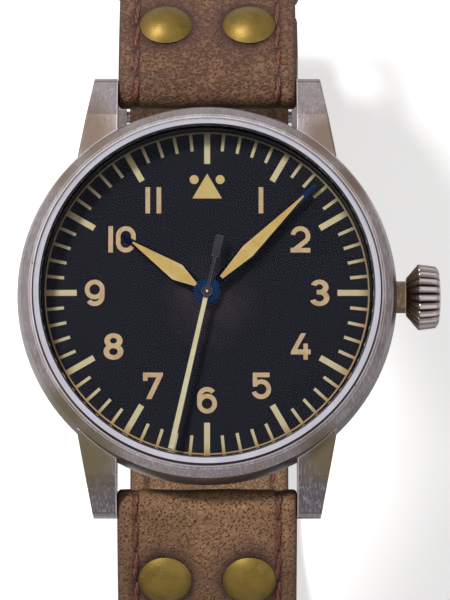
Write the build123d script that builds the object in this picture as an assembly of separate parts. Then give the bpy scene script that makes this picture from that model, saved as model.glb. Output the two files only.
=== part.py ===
from build123d import *
import math
import os

# A pilot watch: round steel case, black dial, hand-wound movement, riveted leather strap.
# Frame: +X towards the crown, +Y towards 12 o'clock, +Z out of the dial.
# The origin is the centre of the case back's flat outer face. All lengths are in millimetres.

# The strap sets the gap between the lugs, the movement sets the dial, and the dial sets the case
strap_width = 20.0
strap_side_gap = 0.1
movement_radius = 15.0
dial_overhang = 3.9
dial_seat_width = 0.6
dial_side_gap = 0.1
dial_radius = movement_radius + dial_overhang
rehaut_radius = dial_radius - dial_seat_width
track_inset = 0.3
track_width = 0.17
track_radius = rehaut_radius - track_inset
case_bore_radius = dial_radius + dial_side_gap

# Heights, stacked up from the dial
dial_top = 7.5
hand_room = 1.9
bezel_recess = 0.5
bezel_height = 1.6
shoulder_drop = 0.4
lug_drop = 0.4
bezel_seat_height = dial_top + hand_room
case_lip_height = bezel_seat_height + bezel_recess
case_shoulder_height = bezel_seat_height - shoulder_drop
bezel_top_height = bezel_seat_height + bezel_height
crystal_edge_height = bezel_top_height

# Case
case_wall = 2.3
case_bottom_step = 1.1
case_shoulder_step = 0.5
case_lip_step = 1.8
case_radius = case_bore_radius + case_wall
case_bottom_radius = case_radius - case_bottom_step
case_shoulder_radius = case_radius - case_shoulder_step
case_lip_radius = case_radius - case_lip_step
bezel_side_gap = 0.15
bezel_width = 0.65
bezel_outer_radius = case_lip_radius - bezel_side_gap
bezel_inner_radius = bezel_outer_radius - bezel_width
case_waist_height = 5.2
case_bottom_height = 0.4
case_lip_round = 0.4
bezel_drop = 0.2
bezel_lip_thickness = 0.25
gasket_wall = 0.22
crystal_dome = 0.5
back_thickness = 1.2
back_clearance = 0.04
back_notch_count = 6
back_notch_width = 2.4
back_notch_depth = 0.5
back_notch_length = 1.6
back_rim_width = 3.2
back_rim_depth = 0.3
gasket_thickness = 0.3
gasket_width = 0.7
seat_clearance = 0.1

# Lugs
lug_tip_width = 2.65
lug_root_width = 4.4
lug_inside_width = 2.9
lug_root_share = 0.724
lug_start_share = 0.524
lug_tip_wall = 1.3
lug_crease_depth = 3.2
lug_bottom_depth = 1.2
bar_case_gap = 2.2
bar_distance = case_radius + bar_case_gap
lug_gap = strap_width + 2 * strap_side_gap
lug_tip_outer = lug_gap / 2 + lug_tip_width
lug_root_outer = lug_gap / 2 + lug_root_width
lug_root_distance = case_radius * lug_root_share
lug_inner_start = case_radius * lug_start_share
lug_inner_width = lug_gap / 2 + lug_inside_width
lug_tip_distance = bar_distance + lug_tip_wall
lug_top_height = case_shoulder_height - lug_drop
lug_crease_distance = bar_distance - lug_crease_depth
lug_crease_height = 7.5
lug_tip_top = 5.0
lug_tip_bottom = 1.7
lug_tip_chamfer = 0.35
lug_bottom_height = 0.8
lug_bottom_distance = bar_distance - lug_bottom_depth
lug_edge_round = 0.25

# Spring bars
bar_height = 3.2
bar_radius = 0.75
bar_shoulder_gap = 0.15
bar_pivot_radius = 0.4
bar_pivot_length = 1.0
bar_hole_radius = 0.45
bar_hole_depth = 1.3

# Heights of the movement and the dial, from the dial down
dial_thickness = 0.4
dial_print_thickness = 0.03
dial_feet_radius = 0.35
dial_feet_length = 1.0
dial_feet_inset = 1.6
dial_feet_distance = movement_radius - dial_feet_inset
dial_feet_angles = (35.0, 215.0)
plate_thickness = 1.3
plate_wall_width = 1.1
train_space = 2.7
bridge_thickness = 1.1
movement_gap = 0.05
ring_outer_gap = 0.1

dial_bottom = dial_top - dial_thickness
plate_top = dial_bottom
plate_bottom = plate_top - plate_thickness
bridge_top = plate_bottom - train_space
bridge_bottom = bridge_top - bridge_thickness

# Running clearances between moving pieces
running_gap = 0.03
wheel_gap = 0.1
pivot_gap = 0.02

# Crown, tube and stem, all about one line along X
stem_height = 4.0
tube_outer_radius = 1.8
tube_inner_radius = 1.4
tube_reach = 1.0
tube_start = case_bore_radius + back_clearance
tube_end = case_radius + tube_reach
crown_gap = 0.05
crown_base_radius = 2.2
crown_wide_radius = 3.75
crown_wide_offset = 1.4
crown_grip_radius = 3.52
crown_grip_offset = 3.4
crown_end_offset = 3.7
crown_end_radius = 2.9
crown_dome = 0.25
crown_flute_count = 22
crown_flute_radius = 0.36
crown_flute_sink = 0.12
crown_pipe_length = 2.6
crown_pipe_gap = 0.05
crown_gasket_start = 1.2
crown_gasket_width = 0.6
crown_gasket_depth = 0.3
stem_radius = 0.6
stem_square = 0.84
stem_pilot_radius = 0.4
stem_inner_end_share = 0.53333
stem_inner_end = stem_inner_end_share * movement_radius
stem_square_start_share = 0.66667
stem_square_start = stem_square_start_share * movement_radius
stem_square_end_share = 0.92
stem_square_end = stem_square_end_share * movement_radius
stem_screw_depth = 2.0
winding_pinion_start_share = 0.68
winding_pinion_start = winding_pinion_start_share * movement_radius
winding_pinion_length = 1.2
winding_pinion_teeth = 18
winding_pinion_bore = 0.64
winding_module_share = 0.01333
winding_module = winding_module_share * movement_radius
clutch_gap = 0.15
clutch_length = 1.8
clutch_radius = 1.55
clutch_groove_radius = 1.15
clutch_groove_width = 0.5
clutch_square_gap = 0.03

# Wheels of the movement: tooth counts, distances between centres and heights
tooth_tip_share = 0.95
tooth_root_share = 1.15
tooth_root_width_share = 0.40
tooth_tip_width_share = 0.16
spoke_width_share = 0.14
spoke_count = 4
hub_share = 0.24
rim_share = 0.84

barrel_teeth = 84
centre_pinion_teeth = 12
barrel_distance_share = 0.48
barrel_distance = barrel_distance_share * movement_radius
barrel_drum_radius_share = 0.4
barrel_drum_radius = barrel_drum_radius_share * movement_radius
barrel_bottom = 4.0
barrel_height = 1.25
barrel_teeth_bottom = 4.7
barrel_teeth_height = 0.4
barrel_wall = 0.45
barrel_floor = 0.2
barrel_arbor_radius = 1.2
barrel_arbor_pivot = 0.7
mainspring_thickness = 0.16
mainspring_pitch_share = 0.03467
mainspring_pitch = mainspring_pitch_share * movement_radius
mainspring_half_turns = 15

centre_teeth = 80
third_pinion_teeth = 10
third_teeth = 75
fourth_pinion_teeth = 10
third_distance_share = 0.31667
third_distance = third_distance_share * movement_radius
third_angle = 200.0
fourth_teeth = 80
escape_pinion_teeth = 8
escape_distance_share = 0.32
escape_distance = escape_distance_share * movement_radius
escape_angle = 290.0
wheel_thickness = 0.18
centre_wheel_bottom = 5.4
centre_pinion_bottom = 4.55
third_wheel_bottom = 3.84
third_pinion_bottom = 5.3
third_pinion_height = 0.42
third_arbor_radius = 0.3
fourth_wheel_bottom = 3.52
fourth_pinion_height = 0.62
escape_wheel_bottom = 4.36
escape_pinion_bottom = 3.42
escape_pinion_height = 0.4
escape_arbor_radius = 0.22
escape_wheel_teeth = 15
escape_wheel_radius_share = 0.14667
escape_wheel_radius = escape_wheel_radius_share * movement_radius
escape_tooth_depth_share = 0.03333
escape_tooth_depth = escape_tooth_depth_share * movement_radius
escape_lean_share = 0.55
escape_tip_share = 0.12
pivot_radius = 0.12
pivot_length = 0.3
jewel_radius = 0.55
jewel_thickness = 0.3

pallet_distance_share = 0.19333
pallet_distance = pallet_distance_share * movement_radius
pallet_angle = 240.0
pallet_thickness = 0.25
pallet_lever_end_share = 0.19667
pallet_lever_end = pallet_lever_end_share * movement_radius
pallet_lever_width_share = 0.02267
pallet_lever_width = pallet_lever_width_share * movement_radius
pallet_arm_span_share = 0.23333
pallet_arm_span = pallet_arm_span_share * movement_radius
pallet_arm_width_share = 0.02667
pallet_arm_width = pallet_arm_width_share * movement_radius
pallet_horn_length_share = 0.03333
pallet_horn_length = pallet_horn_length_share * movement_radius
pallet_horn_width_share = 0.05733
pallet_horn_width = pallet_horn_width_share * movement_radius
pallet_notch_width_share = 0.02667
pallet_notch_width = pallet_notch_width_share * movement_radius
pallet_notch_depth_share = 0.02
pallet_notch_depth = pallet_notch_depth_share * movement_radius
pallet_arbor_radius = 0.22
stone_width_share = 0.02267
stone_width = stone_width_share * movement_radius
stone_length_share = 0.048
stone_length = stone_length_share * movement_radius
stone_offset_share = 0.10533
stone_offset = stone_offset_share * movement_radius
stone_reach_share = 0.07333
stone_reach = stone_reach_share * movement_radius

balance_lever_share = 0.24
balance_lever = balance_lever_share * movement_radius
balance_radius_share = 0.28
balance_radius = balance_radius_share * movement_radius
balance_rim_width_share = 0.03667
balance_rim_width = balance_rim_width_share * movement_radius
balance_bottom = 2.96
balance_height = 0.4
balance_arm_width_share = 0.04
balance_arm_width = balance_arm_width_share * movement_radius
balance_hub_radius = 0.8
balance_staff_radius = 0.25
balance_clear_radius_share = 0.3
balance_clear_radius = balance_clear_radius_share * movement_radius
roller_radius_share = 0.05333
roller_radius = roller_radius_share * movement_radius
roller_thickness = 0.2
impulse_radius_share = 0.008
impulse_radius = impulse_radius_share * movement_radius
impulse_orbit_share = 0.03333
impulse_orbit = impulse_orbit_share * movement_radius
impulse_length = 0.5
hairspring_bottom = 2.58
hairspring_height = 0.18
hairspring_inner = 0.62
hairspring_pitch_share = 0.02267
hairspring_pitch = hairspring_pitch_share * movement_radius
hairspring_thickness = 0.06
hairspring_half_turns = 13
cock_bottom = 1.75
cock_thickness = 0.7
cock_foot_inset = 2.4
cock_foot_distance = movement_radius - cock_foot_inset
cock_foot_angle = 214.0
cock_foot_radius = 2.0
cock_end_radius = 1.7
stud_width = 0.4

crown_wheel_teeth = 24
ratchet_teeth = 55
winding_wheel_bottom = 1.56
winding_wheel_height = 0.38
crown_wheel_overlap = 2.3
crown_wheel_post_radius = 0.8
click_distance_share = 0.44
click_distance = click_distance_share * movement_radius
click_angle = 150.0
click_tip_angle = 128.0
click_gap = 0.06
click_hub_radius = 0.8
click_post_radius = 0.4
click_root_share = 0.6

# Screws and posts of the movement
bridge_screw_angles = (22.0, 100.0, 140.0, 172.0, 186.0)
screw_radius = 0.5
screw_head_radius = 0.95
screw_head_height = 0.45
screw_depth = 1.6
screw_slot_width = 0.25
screw_slot_depth = 0.22
screw_inset = 1.8
screw_circle = movement_radius - screw_inset
screw_boss_radius = 1.3
pilot_half = 0.75
post_gap = 0.12
pallet_bridge_bottom = 3.75
pallet_bridge_thickness = 0.3
pallet_bridge_radius = 0.9
pallet_foot_distance_share = 0.28667
pallet_foot_distance = pallet_foot_distance_share * movement_radius
pallet_foot_angle = 346.0
pallet_foot_radius = 1.05

# Motion work under the dial
cannon_teeth = 12
minute_wheel_teeth = 36
minute_pinion_teeth = 10
hour_wheel_teeth = 40
motion_distance = 2.88
motion_angle = 330.0
motion_recess_depth = 0.75
cannon_gear_bottom = 6.45
motion_wheel_height = 0.2
minute_pinion_height = 0.32
hour_gear_bottom = 6.8
minute_post_radius = 0.3
seconds_arbor_radius = 0.32
centre_tube_radius = 0.55
cannon_tube_radius = 0.75
hour_pipe_radius = 1.1
hour_pipe_gap = 0.03
dial_hole_gap = 0.1

# Hands: heights of their undersides and outlines along their own length
hand_thickness = 0.15
hour_hand_gap = 0.45
hand_step = 0.55
hour_hand_bottom = dial_top + hour_hand_gap
minute_hand_bottom = hour_hand_bottom + hand_step
seconds_hand_bottom = minute_hand_bottom + hand_step
lume_thickness = 0.1
hour_clock_angle = 304.0
minute_clock_angle = 45.0
seconds_clock_angle = 192.8
hour_hub_radius = 1.45
minute_hub_radius = 1.25
seconds_hub_radius = 0.6
hour_hand_length_share = 0.63333
hour_hand_length = hour_hand_length_share * track_radius
hour_wide_distance_share = 0.22222
hour_wide_distance = hour_wide_distance_share * track_radius
hour_wide_half = 1.08
hour_root_half = 0.42
hour_tip_half = 0.16
hour_lume_start = 1.5
hour_lume_end_share = 0.55556
hour_lume_end = hour_lume_end_share * track_radius
hour_lume_wide_half = 0.98
hour_lume_root_half = 0.2
hour_lume_tip_half = 0.09
minute_hand_length_share = 0.95
minute_hand_length = minute_hand_length_share * track_radius
minute_wide_distance_share = 0.35556
minute_wide_distance = minute_wide_distance_share * track_radius
minute_wide_half = 0.86
minute_root_half = 0.38
minute_tip_half = 0.13
minute_lume_start = 2.25
minute_lume_end_share = 0.84444
minute_lume_end = minute_lume_end_share * track_radius
minute_lume_wide_half = 0.77
minute_lume_root_half = 0.2
minute_lume_tip_half = 0.08
seconds_hand_length = track_radius
seconds_root_half = 0.27
seconds_tip_half = 0.34
seconds_lume_start = 0.8
seconds_lume_root_half = 0.24
seconds_lume_tip_half = 0.31
seconds_tail_length_share = 0.35556
seconds_tail_length = seconds_tail_length_share * track_radius
seconds_tail_half = 0.14
seconds_weight_start_share = 0.22222
seconds_weight_start = seconds_weight_start_share * track_radius
seconds_weight_half = 0.4

# Dial markings
dial_minutes = 60
hour_minutes = 5
level_hours = (3, 9)
hour_bar_length = 3.5
hour_bar_inner = track_radius - hour_bar_length
hour_bar_width = 0.66
minute_bar_length = 2.0
minute_bar_inner = track_radius - minute_bar_length
minute_bar_width = 0.34
bar_outer = track_radius - track_width / 4
triangle_base_distance_share = 0.58889
triangle_base_distance = triangle_base_distance_share * track_radius
triangle_tip_distance_share = 0.74444
triangle_tip_distance = triangle_tip_distance_share * track_radius
triangle_width = 3.28
dot_radius = 0.5
dot_side = 1.45
dot_distance_share = 0.70722
dot_distance = dot_distance_share * track_radius
numeral_distance_share = 0.66667
numeral_distance = numeral_distance_share * track_radius
numeral_height = 2.95
numeral_width = 2.2
numeral_stroke = 0.51
numeral_side_shift = 0.5
numeral_eleven_step = 1.24
numeral_ten_step = 1.69
numeral_ten_shift = 0.5
numeral_stretch = 1.22
numeral_upper_share = 0.47
two_start_angle = -35.0
two_sweep_angle = 205.0
three_sweep_angle = 250.0
five_start_angle = -160.0
five_sweep_angle = 296.0
six_start_angle = 38.0

# Corners of the straight-sided numerals, as shares of their width and height
four_slant_shares = [
    (0.02, 0.5), (0.27, 0.5), (-0.183, -0.11), (0.5, -0.11),
    (0.5, -0.3), (-0.5, -0.3), (-0.5, -0.2),
]
four_post_shares = [(0.14, 0.11), (0.36, 0.11), (0.36, -0.5), (0.14, -0.5)]
five_corner_shares = [
    (-0.423, 0.5), (0.423, 0.5), (0.423, 0.325), (-0.2, 0.325),
    (-0.2, -0.028), (-0.423, -0.028),
]
seven_corner_shares = [
    (-0.5, 0.5), (0.5, 0.5), (0.5, 0.4), (-0.075, -0.5), (-0.345, -0.5),
    (0.181, 0.325), (-0.268, 0.325), (-0.268, 0.19), (-0.5, 0.19),
]

# Outlines of the two bridges, as shares of the movement's radius
barrel_bridge_shares = [
    (-1, 0.24), (0.12, 0.12), (0.30, -0.20), (0.52, -0.26), (1, -0.24), (1, 1), (-1, 1),
]
train_bridge_shares = [
    (-1, 0.22), (0.10, 0.10), (0.27, -0.20), (0.20, -0.38), (-0.20, -0.40), (-1, -0.24),
]

# Strap: each half is a chain of arcs in the YZ plane, starting at its spring bar
strap_half_thickness = 1.9
strap_pin_gap = 0.05
strap_bar_angle = 20.0
strap_near_radius = 30.0
strap_near_angle = 42.0
strap_side_radius = 40.0
strap_side_angle = 90.0
strap_lower_radius = 35.0
strap_lower_angle = 150.0
strap_floor_radius = 25.0
strap_floor_angle = 180.0
strap_tail_length = 21.0
strap_tail_corner = 7.5
strap_upper_radius = 32.0
strap_upper_angle = 149.0
fold_angle = 54.0
fold_gap = 0.3
buckle_fold_angle = 132.0
hole_radius = 1.1
hole_pitch = 6.5
hole_count = 7
hole_tip_distance = 26.0

# Rivets
rivet_angle = 35.4
rivet_side = 4.75
rivet_head_radius = 3.0
rivet_head_height = 1.25
rivet_shank_radius = 1.2
rivet_cap_radius = 2.3
rivet_cap_height = 0.5
rivet_seat_gap = 0.12

# Keepers, loops round the upper half
keeper_wall = 1.0
keeper_side_gap = 0.12
keeper_face_gap = 0.25
keeper_tail_room = 4.3
keeper_angle_width = 9.5
fixed_keeper_angle = 135.0
free_keeper_angle = 106.0

# Buckle
buckle_bar_radius = 0.75
buckle_rail_gap = 0.5
buckle_rail_width = 2.0
buckle_rail_half_height = 1.1
buckle_back = 1.3
buckle_length = 16.4
buckle_end_width = 2.4
buckle_notch_height = 0.1
buckle_corner = 1.2
tongue_width = 2.3
tongue_thickness = 0.85
tongue_rise = 0.85
tongue_ring_gap = 0.04
tongue_inset = 0.3
tongue_drop = 0.62
tongue_slot_gap = 0.4
tongue_slot_length = 6.5

cut_overrun = 1.0

os.makedirs("parts", exist_ok=True)


def save(name, shape):
    """Write one piece under its own name."""
    export_step(shape, f"parts/{name}.step")


def rod(radius, bottom, top, x=0.0, y=0.0):
    """A round bar along Z between two heights."""
    base = Cylinder(radius, top - bottom, align=(Align.CENTER, Align.CENTER, Align.MIN))
    return Pos(x, y, bottom) * base


def rod_x(radius, start, end, y=0.0, z=0.0):
    """A round bar along X between two places."""
    base = Cylinder(radius, end - start, align=(Align.CENTER, Align.CENTER, Align.MIN))
    return Pos(start, y, z) * Rot(0, 90, 0) * base


def ring(outer, inner, bottom, top, x=0.0, y=0.0):
    """A flat ring about a line along Z."""
    return rod(outer, bottom, top, x, y) - rod(inner, bottom - cut_overrun, top + cut_overrun, x, y)


def block(x_start, x_end, y_start, y_end, z_start, z_end):
    """A box between two corners."""
    size = Box(x_end - x_start, y_end - y_start, z_end - z_start, align=Align.MIN)
    return Pos(x_start, y_start, z_start) * size


def slab(face, bottom, height):
    """A flat outline raised from one height."""
    return Pos(0, 0, bottom) * extrude(face, height, dir=(0, 0, 1))


def outline(points):
    """A closed flat outline from its corners."""
    return make_face(Polyline(*points, close=True))


def turned(profile):
    """A solid turned about the case axis from (radius, height) corners."""
    return revolve(make_face(Plane.XZ * Polyline(*profile, close=True)), Axis.Z)


def polar(distance, angle):
    """The point at a distance and an angle from the case axis."""
    return (distance * math.cos(math.radians(angle)), distance * math.sin(math.radians(angle)))


def mesh_phase(phase, teeth, other_teeth, direction):
    """The turn of a second wheel whose gaps face the teeth of the first."""
    return direction + 180 + 180 / other_teeth - (phase - direction) * teeth / other_teeth


def gear_face(teeth, module, phase):
    """The outline of a toothed wheel, with one tooth centred on the phase angle."""
    pitch = 360 / teeth
    tip = module * (teeth / 2 + tooth_tip_share)
    root = module * (teeth / 2 - tooth_root_share)
    corners = []
    for tooth in range(teeth):
        middle = phase + tooth * pitch
        corners.append(polar(root, middle - pitch * tooth_root_width_share / 2))
        corners.append(polar(tip, middle - pitch * tooth_tip_width_share / 2))
        corners.append(polar(tip, middle + pitch * tooth_tip_width_share / 2))
        corners.append(polar(root, middle + pitch * tooth_root_width_share / 2))
    return outline(corners)


def spoked(face, radius):
    """Open the windows between the spokes of a wheel."""
    window = Circle(radius * rim_share) - Circle(radius * hub_share)
    for spoke in range(spoke_count):
        turn = Rot(0, 0, spoke * 360 / spoke_count)
        arm = Rectangle(radius, radius * spoke_width_share, align=(Align.MIN, Align.CENTER))
        window -= turn * arm
    return face - window


def spiral_face(inner, pitch, half_turns, thickness):
    """A flat spiral strip made of half circles that step outwards."""
    edges = []
    radius = inner
    side = 1
    start = inner
    inner_points = []
    for half in range(half_turns):
        end = start - side * 2 * radius
        inner_points.append((start, end, side))
        start = end
        side = -side
        radius += pitch / 2
    for offset, direction in ((0.0, 1), (thickness, -1)):
        for start, end, side in inner_points[::direction]:
            first = (start + side * offset, 0)
            last = (end - side * offset, 0)
            middle = ((first[0] + last[0]) / 2, side * abs(first[0] - last[0]) / 2)
            edges.append(ThreePointArc(first, middle, last))
    first_start, _, first_side = inner_points[0]
    _, last_end, last_side = inner_points[-1]
    edges.append(Line((first_start, 0), (first_start + first_side * thickness, 0)))
    edges.append(Line((last_end, 0), (last_end - last_side * thickness, 0)))
    return make_face(edges)


def is_lug_top_edge(edge):
    """True for the upper edges along a lug, on its outer side, short of its tip."""
    middle = edge.center()
    runs_along = abs((edge @ 1 - edge @ 0).Y) > abs((edge @ 1 - edge @ 0).X)
    on_outside = middle.X > lug_gap / 2 + lug_edge_round and middle.Z > bar_height
    return runs_along and on_outside and middle.Y < lug_tip_distance - lug_tip_chamfer


def make_mid_case():
    """The case band with its lugs, bored for the movement, the tube and the spring bars."""
    shoulder = (case_shoulder_radius, case_shoulder_height)
    waist = (case_radius, case_waist_height)
    bottom = (case_bottom_radius, case_bottom_height)
    band_edges = [
        Line((case_bore_radius, case_bottom_height), bottom),
        ThreePointArc(bottom, waist, shoulder),
        Line(shoulder, (case_lip_radius + case_lip_round, case_lip_height)),
        Line((case_lip_radius + case_lip_round, case_lip_height), (case_lip_radius, case_lip_height)),
        Line((case_lip_radius, case_lip_height), (case_lip_radius, bezel_seat_height)),
        Line((case_lip_radius, bezel_seat_height), (rehaut_radius, bezel_seat_height)),
        Line((rehaut_radius, bezel_seat_height), (rehaut_radius, dial_top)),
        Line((rehaut_radius, dial_top), (case_bore_radius, dial_top)),
        Line((case_bore_radius, dial_top), (case_bore_radius, case_bottom_height)),
    ]
    band = revolve(make_face([Plane.XZ * edge for edge in band_edges]), Axis.Z)
    lug_plan = outline([
        (lug_gap / 2, lug_inner_start),
        (lug_inner_width, lug_inner_start),
        (lug_root_outer, lug_root_distance),
        (lug_tip_outer, lug_tip_distance),
        (lug_gap / 2, lug_tip_distance),
    ])
    lug_side = make_face(Plane.YZ * Polyline(
        (lug_inner_start, lug_bottom_height),
        (lug_inner_start, lug_top_height),
        (lug_root_distance, lug_top_height),
        (lug_crease_distance, lug_crease_height),
        (lug_tip_distance - lug_tip_chamfer, lug_tip_top),
        (lug_tip_distance, lug_tip_top - lug_tip_chamfer),
        (lug_tip_distance, lug_tip_bottom),
        (lug_bottom_distance, lug_bottom_height),
        close=True,
    ))
    lug = extrude(lug_side, lug_root_outer + cut_overrun, dir=(1, 0, 0)) & slab(lug_plan, 0, case_lip_height)
    outer_edges = lug.edges().filter_by(is_lug_top_edge)
    lug = fillet(outer_edges, lug_edge_round)
    lug -= rod(case_bore_radius + cut_overrun, 0, case_lip_height)
    lug -= rod_x(bar_hole_radius, lug_gap / 2 - cut_overrun, lug_gap / 2 + bar_hole_depth,
                 bar_distance, bar_height)
    case = band
    for front in (lug, mirror(lug, Plane.XZ)):
        case += front
        case += mirror(front, Plane.YZ)
    return case - rod_x(tube_outer_radius, case_bore_radius / 2, case_radius + cut_overrun, 0, stem_height)


def make_case_back():
    """The back plate with a raised flat centre and six key notches in its rim."""
    radius = case_bore_radius - back_clearance
    back = rod(radius, 0, back_thickness)
    back -= ring(radius + cut_overrun, radius - back_rim_width, -cut_overrun, back_rim_depth)
    middle = radius - back_rim_width / 2
    for notch in range(back_notch_count):
        key = block(middle - back_notch_length / 2, middle + back_notch_length / 2,
                    -back_notch_width / 2, back_notch_width / 2,
                    -cut_overrun, back_notch_depth + back_rim_depth)
        back -= Rot(0, 0, notch * 360 / back_notch_count) * key
    return back


def make_bezel():
    """The polished ring that holds the crystal."""
    return turned([
        (bezel_inner_radius, bezel_seat_height + bezel_lip_thickness),
        (rehaut_radius, bezel_seat_height + bezel_lip_thickness),
        (rehaut_radius, bezel_seat_height),
        (bezel_outer_radius, bezel_seat_height),
        (bezel_outer_radius, bezel_top_height - bezel_drop),
        (bezel_outer_radius - bezel_drop, bezel_top_height),
        (bezel_inner_radius, bezel_top_height),
    ])


def make_crystal():
    """The lightly domed crystal."""
    radius = bezel_inner_radius - gasket_wall
    bottom = bezel_seat_height + bezel_lip_thickness
    top = crystal_edge_height + crystal_dome
    sphere = (radius**2 + crystal_dome**2) / (2 * crystal_dome)
    half_height = top - sphere + math.sqrt(sphere**2 - radius**2 / 4)
    edges = [
        Line((0, bottom), (radius, bottom)),
        Line((radius, bottom), (radius, crystal_edge_height)),
        ThreePointArc((radius, crystal_edge_height), (radius / 2, half_height), (0, top)),
        Line((0, top), (0, bottom)),
    ]
    return revolve(make_face([Plane.XZ * edge for edge in edges]), Axis.Z)


save("mid_case", make_mid_case())
save("case_back", make_case_back())
save("bezel", make_bezel())
save("crystal", make_crystal())
save("crystal_gasket", ring(
    bezel_inner_radius, bezel_inner_radius - gasket_wall,
    bezel_seat_height + bezel_lip_thickness, crystal_edge_height - gasket_wall,
))
back_gasket_outer = case_bore_radius - seat_clearance
save("case_back_gasket", ring(
    back_gasket_outer, back_gasket_outer - gasket_width, back_thickness, back_thickness + gasket_thickness,
))

ring_bottom = back_thickness + gasket_thickness
movement_ring = ring(case_bore_radius - ring_outer_gap, movement_radius + movement_gap,
                     ring_bottom, plate_top)
movement_ring -= rod_x(tube_outer_radius, movement_radius / 2, case_radius, 0, stem_height)
save("movement_ring", movement_ring)

crown_tube = rod_x(tube_outer_radius, tube_start, tube_end, 0, stem_height)
crown_tube -= rod_x(tube_inner_radius, 0, tube_end + cut_overrun, 0, stem_height)
save("crown_tube", crown_tube)


def make_spring_bar(side):
    """A spring bar between two lugs, with its two pivots."""
    half_length = lug_gap / 2 - bar_shoulder_gap
    y = side * bar_distance
    bar = rod_x(bar_radius, -half_length, half_length, y, bar_height)
    pivot = half_length + bar_pivot_length
    return bar + rod_x(bar_pivot_radius, -pivot, pivot, y, bar_height)


save("spring_bar_upper", make_spring_bar(1))
save("spring_bar_lower", make_spring_bar(-1))


def envelope(points):
    """A solid turned about the stem line from (place along X, radius) corners."""
    flat = make_face(Plane.XY * Polyline(*points, close=True))
    return Pos(0, 0, stem_height) * revolve(flat, Axis.X)


def make_crown():
    """The fluted crown with a cone towards the case and a pipe that enters the tube."""
    start = tube_end + crown_gap
    wide = start + crown_wide_offset
    grip = start + crown_grip_offset
    end = start + crown_end_offset
    body = envelope([
        (start, 0),
        (start, crown_base_radius),
        (wide, crown_wide_radius),
        (grip, crown_grip_radius),
        (end, crown_end_radius),
        (end + crown_dome, 0),
    ])
    cutter = rod_x(crown_flute_radius, start, grip + cut_overrun, crown_wide_radius + crown_flute_sink, 0)
    for flute in range(crown_flute_count):
        body -= Pos(0, 0, stem_height) * Rot(flute * 360 / crown_flute_count, 0, 0) * cutter
    pipe_radius = tube_inner_radius - crown_pipe_gap
    pipe_start = start - crown_pipe_length
    body += rod_x(pipe_radius, pipe_start, start, 0, stem_height)
    groove = rod_x(pipe_radius + cut_overrun, pipe_start + crown_gasket_start,
                   pipe_start + crown_gasket_start + crown_gasket_width, 0, stem_height)
    groove -= rod_x(pipe_radius - crown_gasket_depth, pipe_start, start, 0, stem_height)
    body -= groove
    return body - rod_x(stem_radius, pipe_start - cut_overrun, start + stem_screw_depth, 0, stem_height)


crown_pipe_start = tube_end + crown_gap - crown_pipe_length
save("crown", make_crown())

gasket_outer = tube_inner_radius - running_gap
gasket_inner = tube_inner_radius - crown_pipe_gap - crown_gasket_depth
gasket_place = crown_pipe_start + crown_gasket_start
crown_gasket = rod_x(gasket_outer, gasket_place, gasket_place + crown_gasket_width, 0, stem_height)
crown_gasket -= rod_x(gasket_inner, 0, case_radius * 2, 0, stem_height)
save("crown_gasket", crown_gasket)


def square_x(side, start, end):
    """A square bar along the stem line."""
    return block(start, end, -side / 2, side / 2, stem_height - side / 2, stem_height + side / 2)


stem_end = tube_end + crown_gap + stem_screw_depth
winding_stem = rod_x(stem_pilot_radius, stem_inner_end, stem_square_start, 0, stem_height)
winding_stem += square_x(stem_square, stem_square_start, stem_square_end)
winding_stem += rod_x(stem_radius, stem_square_end, stem_end, 0, stem_height)
save("winding_stem", winding_stem)

winding_pinion_end = winding_pinion_start + winding_pinion_length
winding_pinion = slab(gear_face(winding_pinion_teeth, winding_module, 0), 0, winding_pinion_length)
winding_pinion = Pos(winding_pinion_start, 0, stem_height) * Rot(0, 90, 0) * winding_pinion
winding_pinion -= rod_x(winding_pinion_bore, winding_pinion_start - cut_overrun,
                        winding_pinion_end + cut_overrun, 0, stem_height)
save("winding_pinion", winding_pinion)

clutch_start = winding_pinion_end + clutch_gap
clutch_end = clutch_start + clutch_length
clutch_middle = (clutch_start + clutch_end) / 2
clutch_wheel = rod_x(clutch_radius, clutch_start, clutch_end, 0, stem_height)
clutch_groove = rod_x(clutch_radius + cut_overrun, clutch_middle - clutch_groove_width / 2,
                      clutch_middle + clutch_groove_width / 2, 0, stem_height)
clutch_groove -= rod_x(clutch_groove_radius, clutch_start, clutch_end, 0, stem_height)
clutch_wheel -= clutch_groove
clutch_hole = stem_square + 2 * clutch_square_gap
clutch_wheel -= square_x(clutch_hole, clutch_start - cut_overrun, clutch_end + cut_overrun)
save("clutch_wheel", clutch_wheel)
def make_face_strokes(strokes, width):
    """A numeral drawn as strokes of one width."""
    shape = trace(strokes[0], width)
    for stroke in strokes[1:]:
        shape += trace(stroke, width)
    return shape


def numeral_ring(height, radius):
    """A round stroke closed on itself, centred at a height on the numeral's middle line."""
    half_stroke = numeral_stroke / 2
    return Pos(0, height) * (Circle(radius + half_stroke) - Circle(radius - half_stroke))


def numeral_outline(corner_shares):
    """A straight-sided piece of a numeral, from corners given as shares of its width and height."""
    corners = [(x_share * numeral_width, y_share * numeral_height) for x_share, y_share in corner_shares]
    return outline(corners)


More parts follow.
